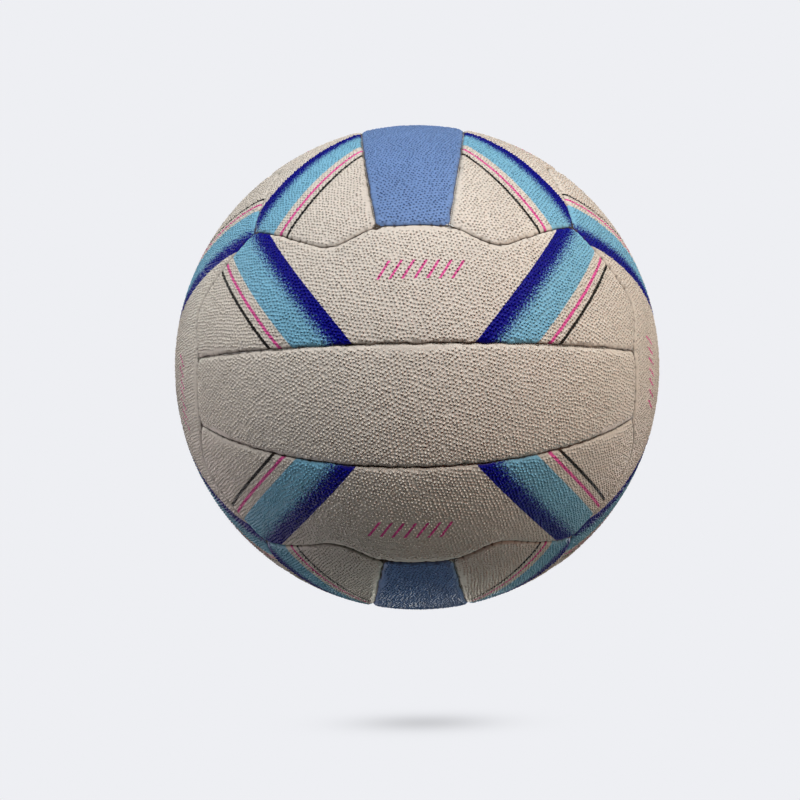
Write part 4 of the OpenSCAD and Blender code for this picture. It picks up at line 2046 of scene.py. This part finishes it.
@dataclass
class Studio:
    """The pale floor and background, the lamps and the camera.

    Attributes:
        backdrop: Colour of the floor and the background.
        floor_z: Height of the floor.
        floor_half: Half the floor's width.
        shadow_half: Half sizes of the soft shadow on the floor.
        shadow_dark: How dark the shadow is in its middle.
        shadow: Colour of the shadow.
        fill: Fill light from all round.
        distance: Metres from the camera to the ball's centre.
        yaw: The camera's turn, in degrees.
        elevation: The camera's angle above the ball's equator, in degrees.
        roll: The camera's roll, in degrees.
        lens: Focal length, in millimetres.
        sensor: Width of the camera's sensor, in millimetres.
        clip: Nearest and furthest distance that the camera sees, in metres.
        shift: Shift of the picture's frame, in shares of its width.
        lamps: The lamps.
    """

    backdrop: Colour = (0.855, 0.863, 0.896, 1.0)
    floor_z: float = -0.178
    floor_half: float = 4.0
    shadow_half: tuple[float, float] = (0.034, 0.0083)
    shadow_dark: float = 0.28
    shadow: Colour = (0.0, 0.0, 0.0, 1.0)
    fill: Colour = (0.012, 0.012, 0.012, 1.0)
    distance: float = 0.46078
    yaw: float = -0.492
    elevation: float = 7.478
    roll: float = 0.994
    lens: float = 43.85
    sensor: float = 36.0
    clip: tuple[float, float] = (0.01, 20.0)
    shift: tuple[float, float] = (-0.021375, -0.0408125)
    lamps: tuple[Lamp, ...] = (
        Lamp("front top light", 0.0, 55.0, 5.8, (1.0, 1.0, 0.91)),
        Lamp("right top light", 45.0, 55.0, 7.1, (0.96, 0.99, 1.0)),
        Lamp("left top light", -45.0, 55.0, 4.6, (0.7, 0.8, 1.0)),
        Lamp("right front light", 60.0, 20.0, 1.9, (1.0, 0.4, 0.3)),
        Lamp("right side light", 100.0, 20.0, 2.5, (0.93, 1.0, 0.77)),
        Lamp("left side light", -100.0, 20.0, 3.2, (1.0, 0.84, 0.77)),
        Lamp("right low light", 90.0, -15.0, 0.9, (1.0, 0.42, 0.13)),
        Lamp("left back light", -125.0, 12.0, 2.4, (0.8, 1.0, 0.88)),
        Lamp("left back low light", -125.0, -25.0, 2.2, (1.0, 0.89, 0.91)),
        Lamp("right back low light", 125.0, -25.0, 2.8, (1.0, 0.92, 0.96)),
        Lamp("left under light", -90.0, -50.0, 3.5, (1.0, 0.96, 1.0)),
        Lamp("right under light", 90.0, -50.0, 3.0, (0.71, 0.99, 1.0)),
        Lamp("back light", 180.0, 5.0, 6.0),
        Lamp("back under light", 180.0, -50.0, 2.6, (1.0, 0.94, 0.79)),
    )

    def build(self) -> None:
        """Makes the floor, the background, the lamps and the camera."""
        self.floor()
        self.background()
        for lamp in self.lamps:
            lamp.place()
            LOG.info("%s", lamp.name)
        self.camera()
        view = bpy.context.scene.view_settings
        view.view_transform = "Standard"
        view.look = "None"

    def floor(self) -> None:
        """The pale floor with its soft shadow, which shows from above only."""
        half = self.floor_half
        mesh = bpy.data.meshes.new("floor")
        corners = [(-half, -half), (half, -half), (half, half), (-half, half)]
        mesh.from_pydata([(x, y, self.floor_z) for x, y in corners], [], [(0, 1, 2, 3)])
        mesh.materials.append(self.floor_material())
        floor = bpy.data.objects.new("floor", mesh)
        bpy.context.scene.collection.objects.link(floor)

    def floor_material(self) -> bpy.types.Material:
        """The floor's even tone and its shadow, which are seen by the camera alone.

        Returns:
            The material.
        """
        material, sheet = new_material("Pale floor")
        away = [
            sheet.math("DIVIDE", part, size)
            for part, size in zip(sheet.parts_of(sheet.place()), self.shadow_half)
        ]
        squares = sheet.math("ADD", *[sheet.math("MULTIPLY", share, share) for share in away])
        fall = sheet.math("EXPONENT", sheet.math("MULTIPLY", squares, -1.0))
        dark = sheet.math("MULTIPLY", fall, self.shadow_dark)
        light = sheet.add("ShaderNodeEmission")
        sheet.feed(light.inputs["Color"], sheet.blend(dark, self.backdrop, self.shadow))
        clear = sheet.add("ShaderNodeBsdfTransparent")
        seen = sheet.add("ShaderNodeLightPath").outputs["Is Camera Ray"]
        below = sheet.add("ShaderNodeNewGeometry").outputs["Backfacing"]
        shown = sheet.math("MULTIPLY", seen, sheet.math("SUBTRACT", 1.0, below))
        mixed = sheet.add("ShaderNodeMixShader")
        for socket, source in zip(mixed.inputs, (shown, clear.outputs[0], light.outputs[0])):
            sheet.feed(socket, source)
        sheet.finish(mixed)
        return material

    def background(self) -> None:
        """The even background, and the soft fill light that comes from all round."""
        world = bpy.data.worlds.new("Studio")
        world.use_nodes = True
        world.node_tree.nodes.clear()
        sheet = Sheet(world.node_tree)
        seen = sheet.add("ShaderNodeLightPath").outputs["Is Camera Ray"]
        light = sheet.add("ShaderNodeBackground")
        sheet.feed(light.inputs["Color"], sheet.blend(seen, self.fill, self.backdrop))
        out = sheet.add("ShaderNodeOutputWorld")
        sheet.feed(out.inputs["Surface"], light.outputs[0])
        bpy.context.scene.world = world

    def camera(self) -> None:
        """The camera, at the photograph's viewing angle."""
        data = bpy.data.cameras.new("camera")
        data.lens = self.lens
        data.sensor_width = self.sensor
        data.shift_x, data.shift_y = self.shift
        data.clip_start, data.clip_end = self.clip
        camera = bpy.data.objects.new("camera", data)
        level = Matrix(((1.0, 0.0, 0.0), (0.0, 0.0, 1.0), (0.0, -1.0, 0.0)))
        turn = (
            Matrix.Rotation(math.radians(self.roll), 3, "Z")
            @ Matrix.Rotation(math.radians(self.elevation), 3, "X")
            @ level
            @ Matrix.Rotation(math.radians(self.yaw), 3, "Z")
        ).transposed()
        camera.matrix_world = Matrix.Translation(turn @ Vector((0.0, 0.0, self.distance))) @ turn.to_4x4()
        bpy.context.scene.collection.objects.link(camera)
        bpy.context.scene.camera = camera


def main() -> None:
    """Builds the covers round the frame, dresses the inside and sets the studio."""
    logging.basicConfig(level=logging.INFO, format="%(message)s")
    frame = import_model()
    covers = CoverSet().build()
    Inside(frame["nodes"]).dress()
    Studio().build()
    LOG.info("%d covers", len(covers))


if __name__ == "__main__":
    main()
